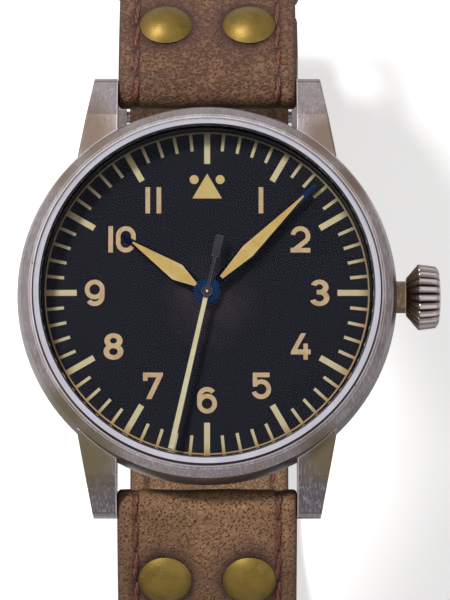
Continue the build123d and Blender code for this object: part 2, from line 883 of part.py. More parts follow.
def make_digit(digit):
    """One dial numeral, centred on its own middle."""
    stroke = numeral_stroke
    right = (numeral_width - stroke) / 2
    top = (numeral_height - stroke) / 2
    bowl_height = right - top
    upper_radius = top * numeral_upper_share
    lower_radius = top - upper_radius
    upper_height = top - upper_radius
    lower_height = lower_radius - top
    if digit == "1":
        return Rectangle(stroke, numeral_height)
    if digit == "0":
        body = SlotOverall(numeral_height, numeral_width, rotation=90)
        return body - SlotOverall(numeral_height - 2 * stroke, numeral_width - 2 * stroke, rotation=90)
    if digit == "2":
        bend = CenterArc((0, -bowl_height), right, two_start_angle, two_sweep_angle)
        foot = Line((-numeral_width / 2, -top), (numeral_width / 2, -top))
        return make_face_strokes([bend, Line(bend @ 0, (stroke / 4 - right, -top)), foot], stroke)
    if digit == "3":
        upper = CenterArc((0, upper_height), upper_radius, -90, three_sweep_angle)
        lower = CenterArc((0, lower_height), lower_radius, 90 - three_sweep_angle, three_sweep_angle)
        waist = Line((-stroke / 2, lower_height + lower_radius), (0, lower_height + lower_radius))
        return scale(make_face_strokes([upper, lower, waist], stroke), by=(numeral_stretch, 1, 1))
    if digit == "4":
        return numeral_outline(four_slant_shares) + numeral_outline(four_post_shares)
    if digit == "5":
        bowl = CenterArc((0, bowl_height), right, five_start_angle, five_sweep_angle)
        return numeral_outline(five_corner_shares) + make_face_strokes([bowl], stroke)
    if digit == "7":
        return numeral_outline(seven_corner_shares)
    if digit == "8":
        rings = numeral_ring(upper_height, upper_radius) + numeral_ring(lower_height, lower_radius)
        return scale(rings, by=(numeral_stretch, 1, 1))
    side = Line((-right, bowl_height), (-right, -bowl_height))
    sweep = CenterArc((0, -bowl_height), right, six_start_angle, 180 - six_start_angle)
    six = numeral_ring(bowl_height, right) + make_face_strokes([side, sweep], stroke)
    if digit == "9":
        return Rot(0, 0, 180) * six
    return six




# Centres of the movement's wheels
third_x, third_y = polar(third_distance, third_angle)
escape_x, escape_y = polar(escape_distance, escape_angle)
pallet_dx, pallet_dy = polar(pallet_distance, pallet_angle)
pallet_x = escape_x + pallet_dx
pallet_y = escape_y + pallet_dy
balance_dx, balance_dy = polar(balance_lever, pallet_angle)
balance_x = pallet_x + balance_dx
balance_y = pallet_y + balance_dy
minute_x, minute_y = polar(motion_distance, motion_angle)
cock_x, cock_y = polar(cock_foot_distance, cock_foot_angle)
screw_places = [polar(screw_circle, angle) for angle in bridge_screw_angles]

# The barrel stands where its teeth reach the centre pinion and its ratchet reaches the crown wheel
crown_wheel_x = winding_pinion_start + winding_pinion_length / 2 - crown_wheel_overlap
winding_distance = winding_module * (crown_wheel_teeth + ratchet_teeth) / 2
barrel_x = (barrel_distance**2 - winding_distance**2 + crown_wheel_x**2) / (2 * crown_wheel_x)
barrel_y = math.sqrt(barrel_distance**2 - barrel_x**2)
barrel_angle = math.degrees(math.atan2(barrel_y, barrel_x))
ratchet_direction = math.degrees(math.atan2(barrel_y, barrel_x - crown_wheel_x))

# Tooth sizes that follow from the distances
barrel_module = 2 * barrel_distance / (barrel_teeth + centre_pinion_teeth)
centre_module = 2 * third_distance / (centre_teeth + third_pinion_teeth)
third_module = 2 * third_distance / (third_teeth + fourth_pinion_teeth)
fourth_module = 2 * escape_distance / (fourth_teeth + escape_pinion_teeth)
cannon_module = 2 * motion_distance / (cannon_teeth + minute_wheel_teeth)
hour_module = 2 * motion_distance / (minute_pinion_teeth + hour_wheel_teeth)

# Phases that set teeth against gaps at rest
third_pinion_phase = mesh_phase(0, centre_teeth, third_pinion_teeth, third_angle)
fourth_pinion_phase = mesh_phase(0, third_teeth, fourth_pinion_teeth, third_angle + 180)
escape_pinion_phase = mesh_phase(0, fourth_teeth, escape_pinion_teeth, escape_angle)
barrel_phase = mesh_phase(0, centre_pinion_teeth, barrel_teeth, barrel_angle)
minute_wheel_phase = mesh_phase(0, cannon_teeth, minute_wheel_teeth, motion_angle)
hour_wheel_phase = mesh_phase(0, minute_pinion_teeth, hour_wheel_teeth, motion_angle + 180)
ratchet_phase = mesh_phase(0, crown_wheel_teeth, ratchet_teeth, ratchet_direction)

jewels = []


def jewel(x, y, bottom, hole):
    """A ring jewel for one pivot, added to the group of jewels."""
    jewels.append(ring(jewel_radius, hole, bottom, bottom + jewel_thickness, x, y))


def make_main_plate():
    """The plate that carries the movement, with a wall at its rim and recesses for wheels and stem."""
    plate = rod(movement_radius, plate_bottom, plate_top)
    plate += ring(movement_radius, movement_radius - plate_wall_width, bridge_top, plate_bottom)
    recess_bottom = plate_top - motion_recess_depth
    tip_room = cannon_module + wheel_gap
    plate -= rod(hour_module * hour_wheel_teeth / 2 + tip_room, recess_bottom, plate_top)
    minute_room = cannon_module * minute_wheel_teeth / 2 + tip_room
    plate -= rod(minute_room, recess_bottom, plate_top, minute_x, minute_y)
    plate += rod(minute_post_radius, recess_bottom, plate_top - wheel_gap, minute_x, minute_y)
    plate -= rod(centre_tube_radius + running_gap, plate_bottom - cut_overrun, plate_top)
    for x, y in ((third_x, third_y), (escape_x, escape_y), (pallet_x, pallet_y), (balance_x, balance_y)):
        plate -= rod(jewel_radius, plate_bottom - cut_overrun, plate_top + cut_overrun, x, y)
    plate -= rod(balance_clear_radius, bridge_top - cut_overrun, plate_bottom, balance_x, balance_y)
    plate -= rod(barrel_arbor_pivot + running_gap, plate_bottom - cut_overrun, plate_top, barrel_x, barrel_y)
    pinion_room = winding_pinion_teeth * winding_module / 2 + winding_module + wheel_gap
    plate -= rod_x(pinion_room, winding_pinion_start - wheel_gap, clutch_end + wheel_gap, 0, stem_height)
    plate -= rod_x(stem_radius + wheel_gap, clutch_end, movement_radius + cut_overrun, 0, stem_height)
    for angle in dial_feet_angles:
        x, y = polar(dial_feet_distance, angle)
        foot_bottom = plate_top - dial_feet_length - wheel_gap
        plate -= rod(dial_feet_radius + running_gap, foot_bottom, plate_top, x, y)
    pilot_end = stem_square_start - wheel_gap
    post_start = stem_inner_end + wheel_gap
    post = block(post_start, pilot_end, -pilot_half, pilot_half, stem_height - pilot_half, plate_bottom)
    pilot_hole = stem_pilot_radius + running_gap
    post -= rod_x(pilot_hole, stem_inner_end - cut_overrun, pilot_end + cut_overrun, 0, stem_height)
    plate += post
    plate -= rod(cock_foot_radius + post_gap, bridge_top - cut_overrun, plate_bottom, cock_x, cock_y)
    for x, y in screw_places:
        plate += rod(screw_boss_radius, bridge_top, plate_bottom, x, y)
        plate -= rod(screw_radius, bridge_top - cut_overrun, bridge_top + screw_depth, x, y)
    return plate


def bridge_blank(shares):
    """A flat piece of the movement's disc, from corners given as shares of its radius."""
    corners = [(x_share * movement_radius, y_share * movement_radius) for x_share, y_share in shares]
    disc = rod(movement_radius, bridge_bottom, bridge_top)
    return disc & slab(outline(corners), bridge_bottom, bridge_thickness)


def drill_screws(bridge, places, bottom, top):
    """Cut the seats and holes of the screws in one bridge."""
    for x, y in places:
        bridge -= rod(screw_radius, bottom - cut_overrun, top + cut_overrun, x, y)
        bridge -= rod(screw_head_radius + wheel_gap, bottom - cut_overrun, bottom + screw_head_height, x, y)
    return bridge


def make_screw(x, y, bottom, length):
    """A slotted screw with its head towards the back of the watch."""
    screw = rod(screw_head_radius, bottom, bottom + screw_head_height, x, y)
    screw += rod(screw_radius, bottom, bottom + length, x, y)
    half = screw_head_radius + cut_overrun
    slot = block(x - half, x + half, y - screw_slot_width / 2, y + screw_slot_width / 2,
                 bottom - cut_overrun, bottom + screw_slot_depth)
    return screw - slot


save("main_plate", make_main_plate())

barrel_bridge = bridge_blank(barrel_bridge_shares)
barrel_bridge -= rod(barrel_arbor_pivot + running_gap, bridge_bottom - cut_overrun, bridge_top + cut_overrun,
                     barrel_x, barrel_y)
pinion_tip = winding_module * (winding_pinion_teeth / 2 + 1) + wheel_gap
barrel_bridge -= rod_x(pinion_tip, winding_pinion_start - wheel_gap, clutch_end + wheel_gap, 0, stem_height)
barrel_bridge = drill_screws(barrel_bridge, screw_places[:3], bridge_bottom, bridge_top)
barrel_bridge += rod(crown_wheel_post_radius, winding_wheel_bottom, bridge_bottom, crown_wheel_x, 0)
click_dx, click_dy = polar(click_distance, click_angle)
click_x = barrel_x + click_dx
click_y = barrel_y + click_dy
barrel_bridge += rod(click_post_radius, winding_wheel_bottom, bridge_bottom, click_x, click_y)
save("barrel_bridge", barrel_bridge)

train_bridge = bridge_blank(train_bridge_shares)
bridge_holes = [
    (balance_clear_radius, balance_x, balance_y),
    (cock_foot_radius + post_gap, cock_x, cock_y),
    (jewel_radius, 0, 0),
    (jewel_radius, third_x, third_y),
    (jewel_radius, escape_x, escape_y),
]
for radius, x, y in bridge_holes:
    train_bridge -= rod(radius, bridge_bottom - cut_overrun, bridge_top + cut_overrun, x, y)
train_bridge = drill_screws(train_bridge, screw_places[3:], bridge_bottom, bridge_top)
save("train_bridge", train_bridge)


def bar_between(first, last, first_radius, last_radius, bottom, height):
    """A flat bar with round ends between two places."""
    length = math.dist(first, last)
    turn = math.degrees(math.atan2(last[1] - first[1], last[0] - first[0]))
    side = outline([(0, -first_radius), (length, -last_radius), (length, last_radius), (0, first_radius)])
    face = Circle(first_radius) + side + Pos(length, 0) * Circle(last_radius)
    return Pos(first[0], first[1], bottom) * Rot(0, 0, turn) * extrude(face, height, dir=(0, 0, 1))


# Cock over the balance, with its foot on the plate
cock = bar_between((cock_x, cock_y), (balance_x, balance_y), cock_foot_radius, cock_end_radius,
                   cock_bottom, cock_thickness)
cock += rod(cock_foot_radius, cock_bottom, plate_bottom, cock_x, cock_y)
cock -= rod(jewel_radius, cock_bottom - cut_overrun, cock_bottom + cock_thickness + cut_overrun,
            balance_x, balance_y)
cock = drill_screws(cock, [(cock_x, cock_y)], cock_bottom, plate_bottom)
hairspring_outer = hairspring_inner + hairspring_half_turns * hairspring_pitch / 2
cock_direction = math.degrees(math.atan2(cock_y - balance_y, cock_x - balance_x))
stud_dx, stud_dy = polar(hairspring_outer + stud_width / 2, cock_direction)
cock += rod(stud_width / 2, cock_bottom + cock_thickness, hairspring_bottom + hairspring_height,
            balance_x + stud_dx, balance_y + stud_dy)
save("balance_cock", cock)

# Bridge of the pallet fork
foot_dx, foot_dy = polar(pallet_foot_distance, pallet_foot_angle)
pallet_foot = (pallet_x + foot_dx, pallet_y + foot_dy)
pallet_bridge = bar_between(pallet_foot, (pallet_x, pallet_y), pallet_foot_radius, pallet_bridge_radius,
                            pallet_bridge_bottom, pallet_bridge_thickness)
pallet_bridge += rod(pallet_foot_radius, pallet_bridge_bottom, plate_bottom, *pallet_foot)
pallet_bridge -= rod(jewel_radius, pallet_bridge_bottom - cut_overrun, plate_bottom, pallet_x, pallet_y)
save("pallet_bridge", pallet_bridge)

# Screws of the bridges and the cock
bridge_screws = [make_screw(x, y, bridge_bottom, bridge_thickness + screw_depth) for x, y in screw_places]
bridge_screws.append(make_screw(cock_x, cock_y, cock_bottom, plate_bottom - cock_bottom))
save("bridge_screws", Compound(children=bridge_screws))

# Jewels at every pivot
pivot_hole = pivot_radius + pivot_gap
jewel(0, 0, bridge_top - jewel_thickness, pivot_hole)
for x, y in ((third_x, third_y), (escape_x, escape_y)):
    jewel(x, y, bridge_top - jewel_thickness, pivot_hole)
    jewel(x, y, plate_bottom, pivot_hole)
for x, y in ((pallet_x, pallet_y), (balance_x, balance_y)):
    jewel(x, y, plate_bottom, pivot_hole)
jewel(pallet_x, pallet_y, pallet_bridge_bottom, pivot_hole)
jewel(balance_x, balance_y, cock_bottom + cock_thickness - jewel_thickness, pivot_hole)
save("jewels", Compound(children=jewels))


def arbor(x, y, radius, bottom, top, pivot_bottom, pivot_top):
    """A wheel's arbor with a thin pivot at each end."""
    return rod(radius, bottom, top, x, y) + rod(pivot_radius, pivot_bottom, pivot_top, x, y)


arbor_bottom = bridge_top + wheel_gap
arbor_top = plate_bottom - wheel_gap
pivot_bottom = bridge_top - pivot_length
pivot_top = plate_bottom + pivot_length


def wheel(x, y, face, bottom, height):
    """A toothed wheel at its own centre."""
    return Pos(x, y, 0) * slab(face, bottom, height)


# Barrel with its spring, arbor and ratchet
barrel_top = barrel_bottom + barrel_height
barrel_drum = rod(barrel_drum_radius, barrel_bottom, barrel_top)
barrel_drum += slab(gear_face(barrel_teeth, barrel_module, barrel_phase),
                    barrel_teeth_bottom, barrel_teeth_height)
cavity_top = barrel_top - barrel_floor
cavity_bottom = barrel_bottom + barrel_floor
barrel_drum -= rod(barrel_drum_radius - barrel_wall, cavity_bottom, cavity_top)
barrel_drum -= rod(barrel_arbor_pivot + running_gap, 0, plate_top)
save("barrel_drum", Pos(barrel_x, barrel_y, 0) * barrel_drum)

barrel_arbor = rod(barrel_arbor_radius, cavity_bottom + running_gap, cavity_top - running_gap)
barrel_arbor += rod(barrel_arbor_pivot, winding_wheel_bottom, plate_bottom + pivot_length)
save("barrel_arbor", Pos(barrel_x, barrel_y, 0) * barrel_arbor)

spring_face = spiral_face(barrel_arbor_radius + wheel_gap, mainspring_pitch, mainspring_half_turns,
                          mainspring_thickness)
spring_height = cavity_top - cavity_bottom - 2 * running_gap
save("mainspring", Pos(barrel_x, barrel_y, 0) * slab(spring_face, cavity_bottom + running_gap, spring_height))

ratchet = gear_face(ratchet_teeth, winding_module, ratchet_phase) - Circle(barrel_arbor_pivot)
save("ratchet_wheel", wheel(barrel_x, barrel_y, ratchet, winding_wheel_bottom, winding_wheel_height))
crown_wheel = gear_face(crown_wheel_teeth, winding_module, 0) - Circle(crown_wheel_post_radius + running_gap)
save("crown_wheel", wheel(crown_wheel_x, 0, crown_wheel, winding_wheel_bottom, winding_wheel_height))

# Click that holds the ratchet
ratchet_tip = winding_module * (ratchet_teeth / 2 + tooth_tip_share)
tip_dx, tip_dy = polar(ratchet_tip + click_gap, click_tip_angle)
click_turn = math.degrees(math.atan2(barrel_y + tip_dy - click_y, barrel_x + tip_dx - click_x))
click_length = math.dist((click_x, click_y), (barrel_x + tip_dx, barrel_y + tip_dy))
click_face = Circle(click_hub_radius) + outline([
    (0, -click_hub_radius * click_root_share),
    (click_length, 0),
    (0, click_hub_radius),
])
click_face -= Circle(click_post_radius + running_gap)
click_piece = slab(click_face, winding_wheel_bottom, winding_wheel_height)
save("click", Pos(click_x, click_y, 0) * Rot(0, 0, click_turn) * click_piece)

# Centre wheel with its hollow arbor
centre_face = spoked(gear_face(centre_teeth, centre_module, 0), centre_module * centre_teeth / 2)
centre_wheel = slab(centre_face, centre_wheel_bottom, wheel_thickness)
centre_wheel += slab(gear_face(centre_pinion_teeth, barrel_module, 0), centre_pinion_bottom,
                     centre_wheel_bottom - centre_pinion_bottom)
centre_wheel += rod(centre_tube_radius, centre_pinion_bottom, minute_hand_bottom)
centre_wheel -= rod(seconds_arbor_radius + running_gap, centre_pinion_bottom - cut_overrun,
                    minute_hand_bottom + cut_overrun)
save("centre_wheel", centre_wheel)

# Third wheel
third_face = spoked(gear_face(third_teeth, third_module, 0), third_module * third_teeth / 2)
third_wheel = slab(third_face, third_wheel_bottom, wheel_thickness)
third_wheel += slab(gear_face(third_pinion_teeth, centre_module, third_pinion_phase),
                    third_pinion_bottom, third_pinion_height)
third_wheel += arbor(0, 0, third_arbor_radius, arbor_bottom, arbor_top, pivot_bottom, pivot_top)
save("third_wheel", Pos(third_x, third_y, 0) * third_wheel)

# Fourth wheel, whose long arbor carries the seconds hand
fourth_face = spoked(gear_face(fourth_teeth, fourth_module, 0), fourth_module * fourth_teeth / 2)
fourth_wheel = slab(fourth_face, fourth_wheel_bottom, wheel_thickness)
fourth_wheel += slab(gear_face(fourth_pinion_teeth, third_module, fourth_pinion_phase),
                     fourth_wheel_bottom + wheel_thickness, fourth_pinion_height)
fourth_wheel += rod(seconds_arbor_radius, arbor_bottom, seconds_hand_bottom + hand_thickness)
fourth_wheel += rod(pivot_radius, pivot_bottom, arbor_bottom)
save("fourth_wheel", fourth_wheel)

# Escape wheel with saw teeth
escape_corners = []
for tooth in range(escape_wheel_teeth):
    tooth_pitch = 360 / escape_wheel_teeth
    escape_corners.append(polar(escape_wheel_radius - escape_tooth_depth, tooth * tooth_pitch))
    escape_corners.append(polar(escape_wheel_radius, (tooth + escape_lean_share) * tooth_pitch))
    tip_end = tooth + escape_lean_share + escape_tip_share
    escape_corners.append(polar(escape_wheel_radius, tip_end * tooth_pitch))
escape_face = spoked(outline(escape_corners), escape_wheel_radius - escape_tooth_depth)
escape_wheel = slab(escape_face, escape_wheel_bottom, wheel_thickness)
escape_wheel += slab(gear_face(escape_pinion_teeth, fourth_module, escape_pinion_phase), escape_pinion_bottom,
                     escape_pinion_height)
escape_wheel += arbor(0, 0, escape_arbor_radius, arbor_bottom, arbor_top, pivot_bottom, pivot_top)
save("escape_wheel", Pos(escape_x, escape_y, 0) * escape_wheel)

# Pallet fork, drawn along its own lever, and its two stones
pallet_bottom = escape_wheel_bottom - (pallet_thickness - wheel_thickness) / 2
fork_face = Rectangle(pallet_lever_end, pallet_lever_width, align=(Align.MIN, Align.CENTER))
fork_face += Rectangle(pallet_arm_width, pallet_arm_span)
horn = Rectangle(pallet_horn_length, pallet_horn_width, align=(Align.MAX, Align.CENTER))
fork_face += Pos(pallet_lever_end, 0) * horn
notch = Rectangle(pallet_notch_depth, pallet_notch_width, align=(Align.MAX, Align.CENTER))
fork_face -= Pos(pallet_lever_end, 0) * notch
stone_places = []
for side in (-1, 1):
    stone = Rectangle(stone_length, stone_width, align=(Align.MIN, Align.CENTER))
    stone_places.append(Pos(-stone_reach, side * stone_offset) * stone)
    fork_face -= stone_places[-1]
pallet_place = Pos(pallet_x, pallet_y, 0) * Rot(0, 0, pallet_angle)
fork = slab(fork_face, pallet_bottom, pallet_thickness)
fork += rod(pallet_arbor_radius, pallet_bridge_bottom + pallet_bridge_thickness + wheel_gap / 2, arbor_top)
fork += rod(pivot_radius, pallet_bridge_bottom, pivot_top)
save("pallet_fork", pallet_place * fork)
stones = [slab(place, pallet_bottom, pallet_thickness) for place in stone_places]
save("pallet_stones", pallet_place * Compound(children=stones))

# Balance with staff, roller and impulse pin
rim = Circle(balance_radius) - Circle(balance_radius - balance_rim_width)
arm = Rectangle(2 * balance_radius - balance_rim_width, balance_arm_width)
balance_face = rim + arm + Circle(balance_hub_radius)
balance = slab(balance_face, balance_bottom, balance_height)
staff_bottom = cock_bottom + cock_thickness + wheel_gap / 2
balance += rod(balance_staff_radius, staff_bottom, arbor_top)
balance += rod(pivot_radius, cock_bottom + cock_thickness - pivot_length, pivot_top)
roller_bottom = pallet_bottom - wheel_gap - roller_thickness
balance += rod(roller_radius, roller_bottom, roller_bottom + roller_thickness)
balance += rod(impulse_radius, roller_bottom, roller_bottom + impulse_length, -impulse_orbit, 0)
balance_place = Pos(balance_x, balance_y, 0)
save("balance_wheel", balance_place * Rot(0, 0, pallet_angle) * balance)
hairspring_face = spiral_face(hairspring_inner, hairspring_pitch, hairspring_half_turns, hairspring_thickness)
hairspring = slab(hairspring_face, hairspring_bottom, hairspring_height)
save("hairspring", balance_place * Rot(0, 0, cock_direction + 180) * hairspring)

# Motion work
cannon = slab(gear_face(cannon_teeth, cannon_module, 0), cannon_gear_bottom, motion_wheel_height)
cannon += rod(cannon_tube_radius, cannon_gear_bottom + motion_wheel_height,
              minute_hand_bottom + hand_thickness)
cannon -= rod(centre_tube_radius, plate_bottom, dial_top + case_lip_height)
save("cannon_pinion", cannon)
minute_wheel = slab(gear_face(minute_wheel_teeth, cannon_module, minute_wheel_phase),
                    cannon_gear_bottom, motion_wheel_height)
minute_wheel += slab(gear_face(minute_pinion_teeth, hour_module, 0), cannon_gear_bottom + motion_wheel_height,
                     minute_pinion_height)
minute_wheel -= rod(minute_post_radius + running_gap, plate_bottom, dial_top)
save("minute_wheel", Pos(minute_x, minute_y, 0) * minute_wheel)
hour_wheel = slab(gear_face(hour_wheel_teeth, hour_module, hour_wheel_phase),
                  hour_gear_bottom, motion_wheel_height)
hour_wheel += rod(hour_pipe_radius, hour_gear_bottom, hour_hand_bottom + hand_thickness)
hour_wheel -= rod(cannon_tube_radius + hour_pipe_gap, plate_bottom, case_lip_height)
save("hour_wheel", hour_wheel)


# Dial with its feet
dial = rod(dial_radius, dial_bottom, dial_top)
dial -= rod(hour_pipe_radius + dial_hole_gap, dial_bottom - cut_overrun, dial_top + cut_overrun)
for angle in dial_feet_angles:
    x, y = polar(dial_feet_distance, angle)
    dial += rod(dial_feet_radius, dial_bottom - dial_feet_length, dial_bottom, x, y)
save("dial", dial)

# Printed markings: hour markers, minute track and numerals
track_inner = track_radius - track_width / 2
hour_markers = []
minute_marks = Circle(track_radius + track_width / 2) - Circle(track_inner)
for minute in range(dial_minutes):
    turn = Rot(0, 0, -360 / dial_minutes * minute)
    if minute % hour_minutes == 0:
        mark = Rectangle(hour_bar_width, track_inner - hour_bar_inner, align=(Align.CENTER, Align.MIN))
        hour_markers.append(slab(turn * Pos(0, hour_bar_inner) * mark, dial_top, dial_print_thickness))
    else:
        mark = Rectangle(minute_bar_width, bar_outer - minute_bar_inner, align=(Align.CENTER, Align.MIN))
        minute_marks += turn * Pos(0, minute_bar_inner) * mark
triangle = outline([
    (-triangle_width / 2, triangle_base_distance),
    (triangle_width / 2, triangle_base_distance),
    (0, triangle_tip_distance),
])
hour_markers.append(slab(triangle, dial_top, dial_print_thickness))
for side in (-1, 1):
    hour_markers.append(rod(dot_radius, dial_top, dial_top + dial_print_thickness,
                            side * dot_side, dot_distance))
save("hour_markers", Compound(children=hour_markers))
save("minute_track", slab(minute_marks, dial_top, dial_print_thickness))

numerals = []
for hour in range(1, dial_minutes // hour_minutes):
    distance = numeral_distance
    if hour in level_hours:
        distance += numeral_side_shift
    x, y = polar(distance, 90 - hour * hour_minutes * 360 / dial_minutes)
    digits = str(hour)
    if digits == "10":
        places = (numeral_ten_shift - numeral_ten_step / 2, numeral_ten_shift + numeral_ten_step / 2)
    elif digits == "11":
        places = (-numeral_eleven_step / 2, numeral_eleven_step / 2)
    else:
        places = (0,)
    for place, digit in zip(places, digits):
        numerals.append(slab(Pos(x + place, y) * make_digit(digit), dial_top, dial_print_thickness))
save("dial_numerals", Compound(children=numerals))


def sword(root, root_half, wide, wide_half, tip, tip_half):
    """A hand's outline: narrow at its root, widest part-way, drawn to its tip."""
    return outline([
        (-root_half, root),
        (-wide_half, wide),
        (-tip_half, tip),
        (tip_half, tip),
        (wide_half, wide),
        (root_half, root),
    ])


def save_hand(name, body, lume, hole, bottom, clock_angle):
    """Save one hand and the luminous filling in its window, turned to the time shown."""
    place = Rot(0, 0, -clock_angle)
    lume_bottom = bottom + hand_thickness - lume_thickness
    window = slab(lume, lume_bottom, lume_thickness + cut_overrun)
    blade = slab(body - Circle(hole), bottom, hand_thickness) - window
    save(name, place * blade)
    save(f"{name}_lume", place * slab(lume, lume_bottom, lume_thickness))


hour_body = sword(0, hour_root_half, hour_wide_distance, hour_wide_half, hour_hand_length, hour_tip_half)
hour_body += Circle(hour_hub_radius)
hour_lume = sword(hour_lume_start, hour_lume_root_half, hour_wide_distance, hour_lume_wide_half,
                  hour_lume_end, hour_lume_tip_half)
save_hand("hour_hand", hour_body, hour_lume, hour_pipe_radius, hour_hand_bottom, hour_clock_angle)

minute_body = sword(0, minute_root_half, minute_wide_distance, minute_wide_half,
                    minute_hand_length, minute_tip_half)
minute_body += Circle(minute_hub_radius)
minute_lume = sword(minute_lume_start, minute_lume_root_half, minute_wide_distance, minute_lume_wide_half,
                    minute_lume_end, minute_lume_tip_half)
save_hand("minute_hand", minute_body, minute_lume, cannon_tube_radius, minute_hand_bottom, minute_clock_angle)

seconds_body = sword(0, seconds_root_half, seconds_weight_start, seconds_root_half,
                     seconds_hand_length, seconds_tip_half)
seconds_body += Circle(seconds_hub_radius)
tail = Rectangle(2 * seconds_tail_half, seconds_tail_length, align=(Align.CENTER, Align.MAX))
weight_length = seconds_tail_length - seconds_weight_start
weight = Rectangle(2 * seconds_weight_half, weight_length, align=(Align.CENTER, Align.MAX))
seconds_body += tail + Pos(0, -seconds_weight_start) * weight
seconds_lume = sword(seconds_lume_start, seconds_lume_root_half, seconds_weight_start, seconds_lume_root_half,
                     seconds_hand_length, seconds_lume_tip_half)
save_hand("seconds_hand", seconds_body, seconds_lume, seconds_arbor_radius, seconds_hand_bottom,
          seconds_clock_angle)


class Curve:
    """The middle line of one strap half, as arcs in the YZ plane from its spring bar.

    A slope is the angle of the strap below the horizontal; the arcs bend towards the wrist.
    """

    def __init__(self, arcs):
        self.arcs = []
        y = bar_distance
        z = bar_height
        start = strap_bar_angle
        for radius, end in arcs:
            centre_y = y - radius * math.sin(math.radians(start))
            centre_z = z - radius * math.cos(math.radians(start))
            self.arcs.append((centre_y, centre_z, radius, start, end))
            y, z = self.on_arc(self.arcs[-1], end, 0)
            start = end

    def on_arc(self, arc, slope, offset):
        centre_y, centre_z, radius, _, _ = arc
        angle = math.radians(slope)
        reach = radius + offset
        return (centre_y + reach * math.sin(angle), centre_z + reach * math.cos(angle))

    def point(self, slope, offset=0.0):
        for arc in self.arcs:
            if slope <= arc[4]:
                return self.on_arc(arc, slope, offset)
        return self.on_arc(self.arcs[-1], slope, offset)

    def length(self, end_slope):
        """Arc length from the spring bar to a slope."""
        total = 0
        for _, _, radius, start, end in self.arcs:
            total += radius * math.radians(max(0, min(end, end_slope) - start))
        return total

    def slope_at(self, length):
        """Slope at an arc length from the spring bar."""
        for _, _, radius, start, end in self.arcs:
            span = radius * math.radians(end - start)
            if length <= span:
                return start + math.degrees(length / radius)
            length -= span
        return self.arcs[-1][4]

    def side(self, start, end, offset):
        """The edges of one offset side between two slopes."""
        edges = []
        for arc in self.arcs:
            first = max(start, arc[3])
            last = min(end, arc[4])
            if last > first:
                middle = (first + last) / 2
                points = [self.on_arc(arc, slope, offset) for slope in (first, middle, last)]
                edges.append(ThreePointArc(*points))
        return edges

    def band(self, start, end, inner, outer, tail=0.0):
        """The closed outline between two offsets, with a straight tail if one is asked for."""
        outside = self.side(start, end, outer)
        inside = self.side(start, end, inner)
        edges = outside + inside
        edges.append(Line(self.point(start, inner), self.point(start, outer)))
        out_end = self.point(end, outer)
        in_end = self.point(end, inner)
        if tail > 0:
            angle = math.radians(end)
            step = (tail * math.cos(angle), -tail * math.sin(angle))
            out_tail = (out_end[0] + step[0], out_end[1] + step[1])
            in_tail = (in_end[0] + step[0], in_end[1] + step[1])
            edges.append(Line(out_end, out_tail))
            edges.append(Line(in_end, in_tail))
            out_end = out_tail
            in_end = in_tail
        edges.append(Line(in_end, out_end))
        return make_face([Plane.YZ * edge for edge in edges])


def across(face, width):
    """A section in the YZ plane made as wide as asked, centred on the case axis."""
    return Pos(-width / 2, 0, 0) * extrude(face, width, dir=(1, 0, 0))


def along_x(radius, half_length, y, z):
    """A round bar along X, centred on the case axis."""
    return rod_x(radius, -half_length, half_length, y, z)


lower_curve = Curve([
    (strap_near_radius, strap_near_angle),
    (strap_side_radius, strap_side_angle),
    (strap_lower_radius, strap_lower_angle),
    (strap_floor_radius, strap_floor_angle),
])
upper_curve = Curve([
    (strap_near_radius, strap_near_angle),
    (strap_side_radius, strap_side_angle),
    (strap_upper_radius, strap_upper_angle),
])
half = strap_half_thickness
pin_hole = bar_radius + strap_pin_gap


def rivet(side, curve):
    """One domed rivet with its shank and the cap on the wrist side."""
    radius = (rivet_head_radius**2 + rivet_head_height**2) / (2 * rivet_head_height)
    head = rod(rivet_head_radius + cut_overrun, radius - rivet_head_height, radius + cut_overrun)
    head &= Sphere(radius)
    head = Pos(0, 0, half - radius + rivet_head_height) * head
    cap_top = -half - rivet_seat_gap
    body = head + rod(rivet_shank_radius, cap_top - rivet_cap_height, half + rivet_head_height / 2)
    body += rod(rivet_cap_radius, cap_top - rivet_cap_height, cap_top)
    y, z = curve.point(rivet_angle)
    return Pos(side * rivet_side, y, z) * Rot(-rivet_angle, 0, 0) * body


def rivet_hole(side, curve):
    """The hole for one rivet's shank."""
    y, z = curve.point(rivet_angle)
    hole = rod(rivet_shank_radius, -2 * half, 2 * half)
    return Pos(side * rivet_side, y, z) * Rot(-rivet_angle, 0, 0) * hole


def leather(curve, end, folded_from, tail):
    """The outer leather: one thickness all along, doubled where it folds round a bar."""
    whole = across(curve.band(strap_bar_angle, end, 0, half, tail), strap_width)
    whole += across(curve.band(strap_bar_angle, fold_angle, -half, 0), strap_width)
    whole += along_x(half, strap_width / 2, bar_distance, bar_height)
    if folded_from < end:
        whole += across(curve.band(folded_from, end, -half, 0), strap_width)
    whole -= along_x(pin_hole, strap_width, bar_distance, bar_height)
    for side in (-1, 1):
        whole -= rivet_hole(side, curve)
    return whole


upper_leather = leather(upper_curve, strap_upper_angle, buckle_fold_angle, 0)
buckle_y, buckle_z = upper_curve.point(strap_upper_angle)
upper_leather += along_x(half, strap_width / 2, buckle_y, buckle_z)
upper_leather -= along_x(buckle_bar_radius + strap_pin_gap, strap_width, buckle_y, buckle_z)
slot_half = tongue_width / 2 + tongue_slot_gap
slot = block(-slot_half, slot_half, -tongue_slot_length, 2 * half, -2 * half, 2 * half)
upper_leather -= Pos(0, buckle_y, buckle_z) * Rot(-strap_upper_angle, 0, 0) * slot
save("strap_upper_leather", upper_leather)
fold_gap_angle = math.degrees(fold_gap / strap_near_radius)
lining_start = fold_angle + fold_gap_angle
lining_end = buckle_fold_angle - fold_gap_angle
upper_lining = across(upper_curve.band(lining_start, lining_end, -half, 0), strap_width)
save("strap_upper_lining", upper_lining)


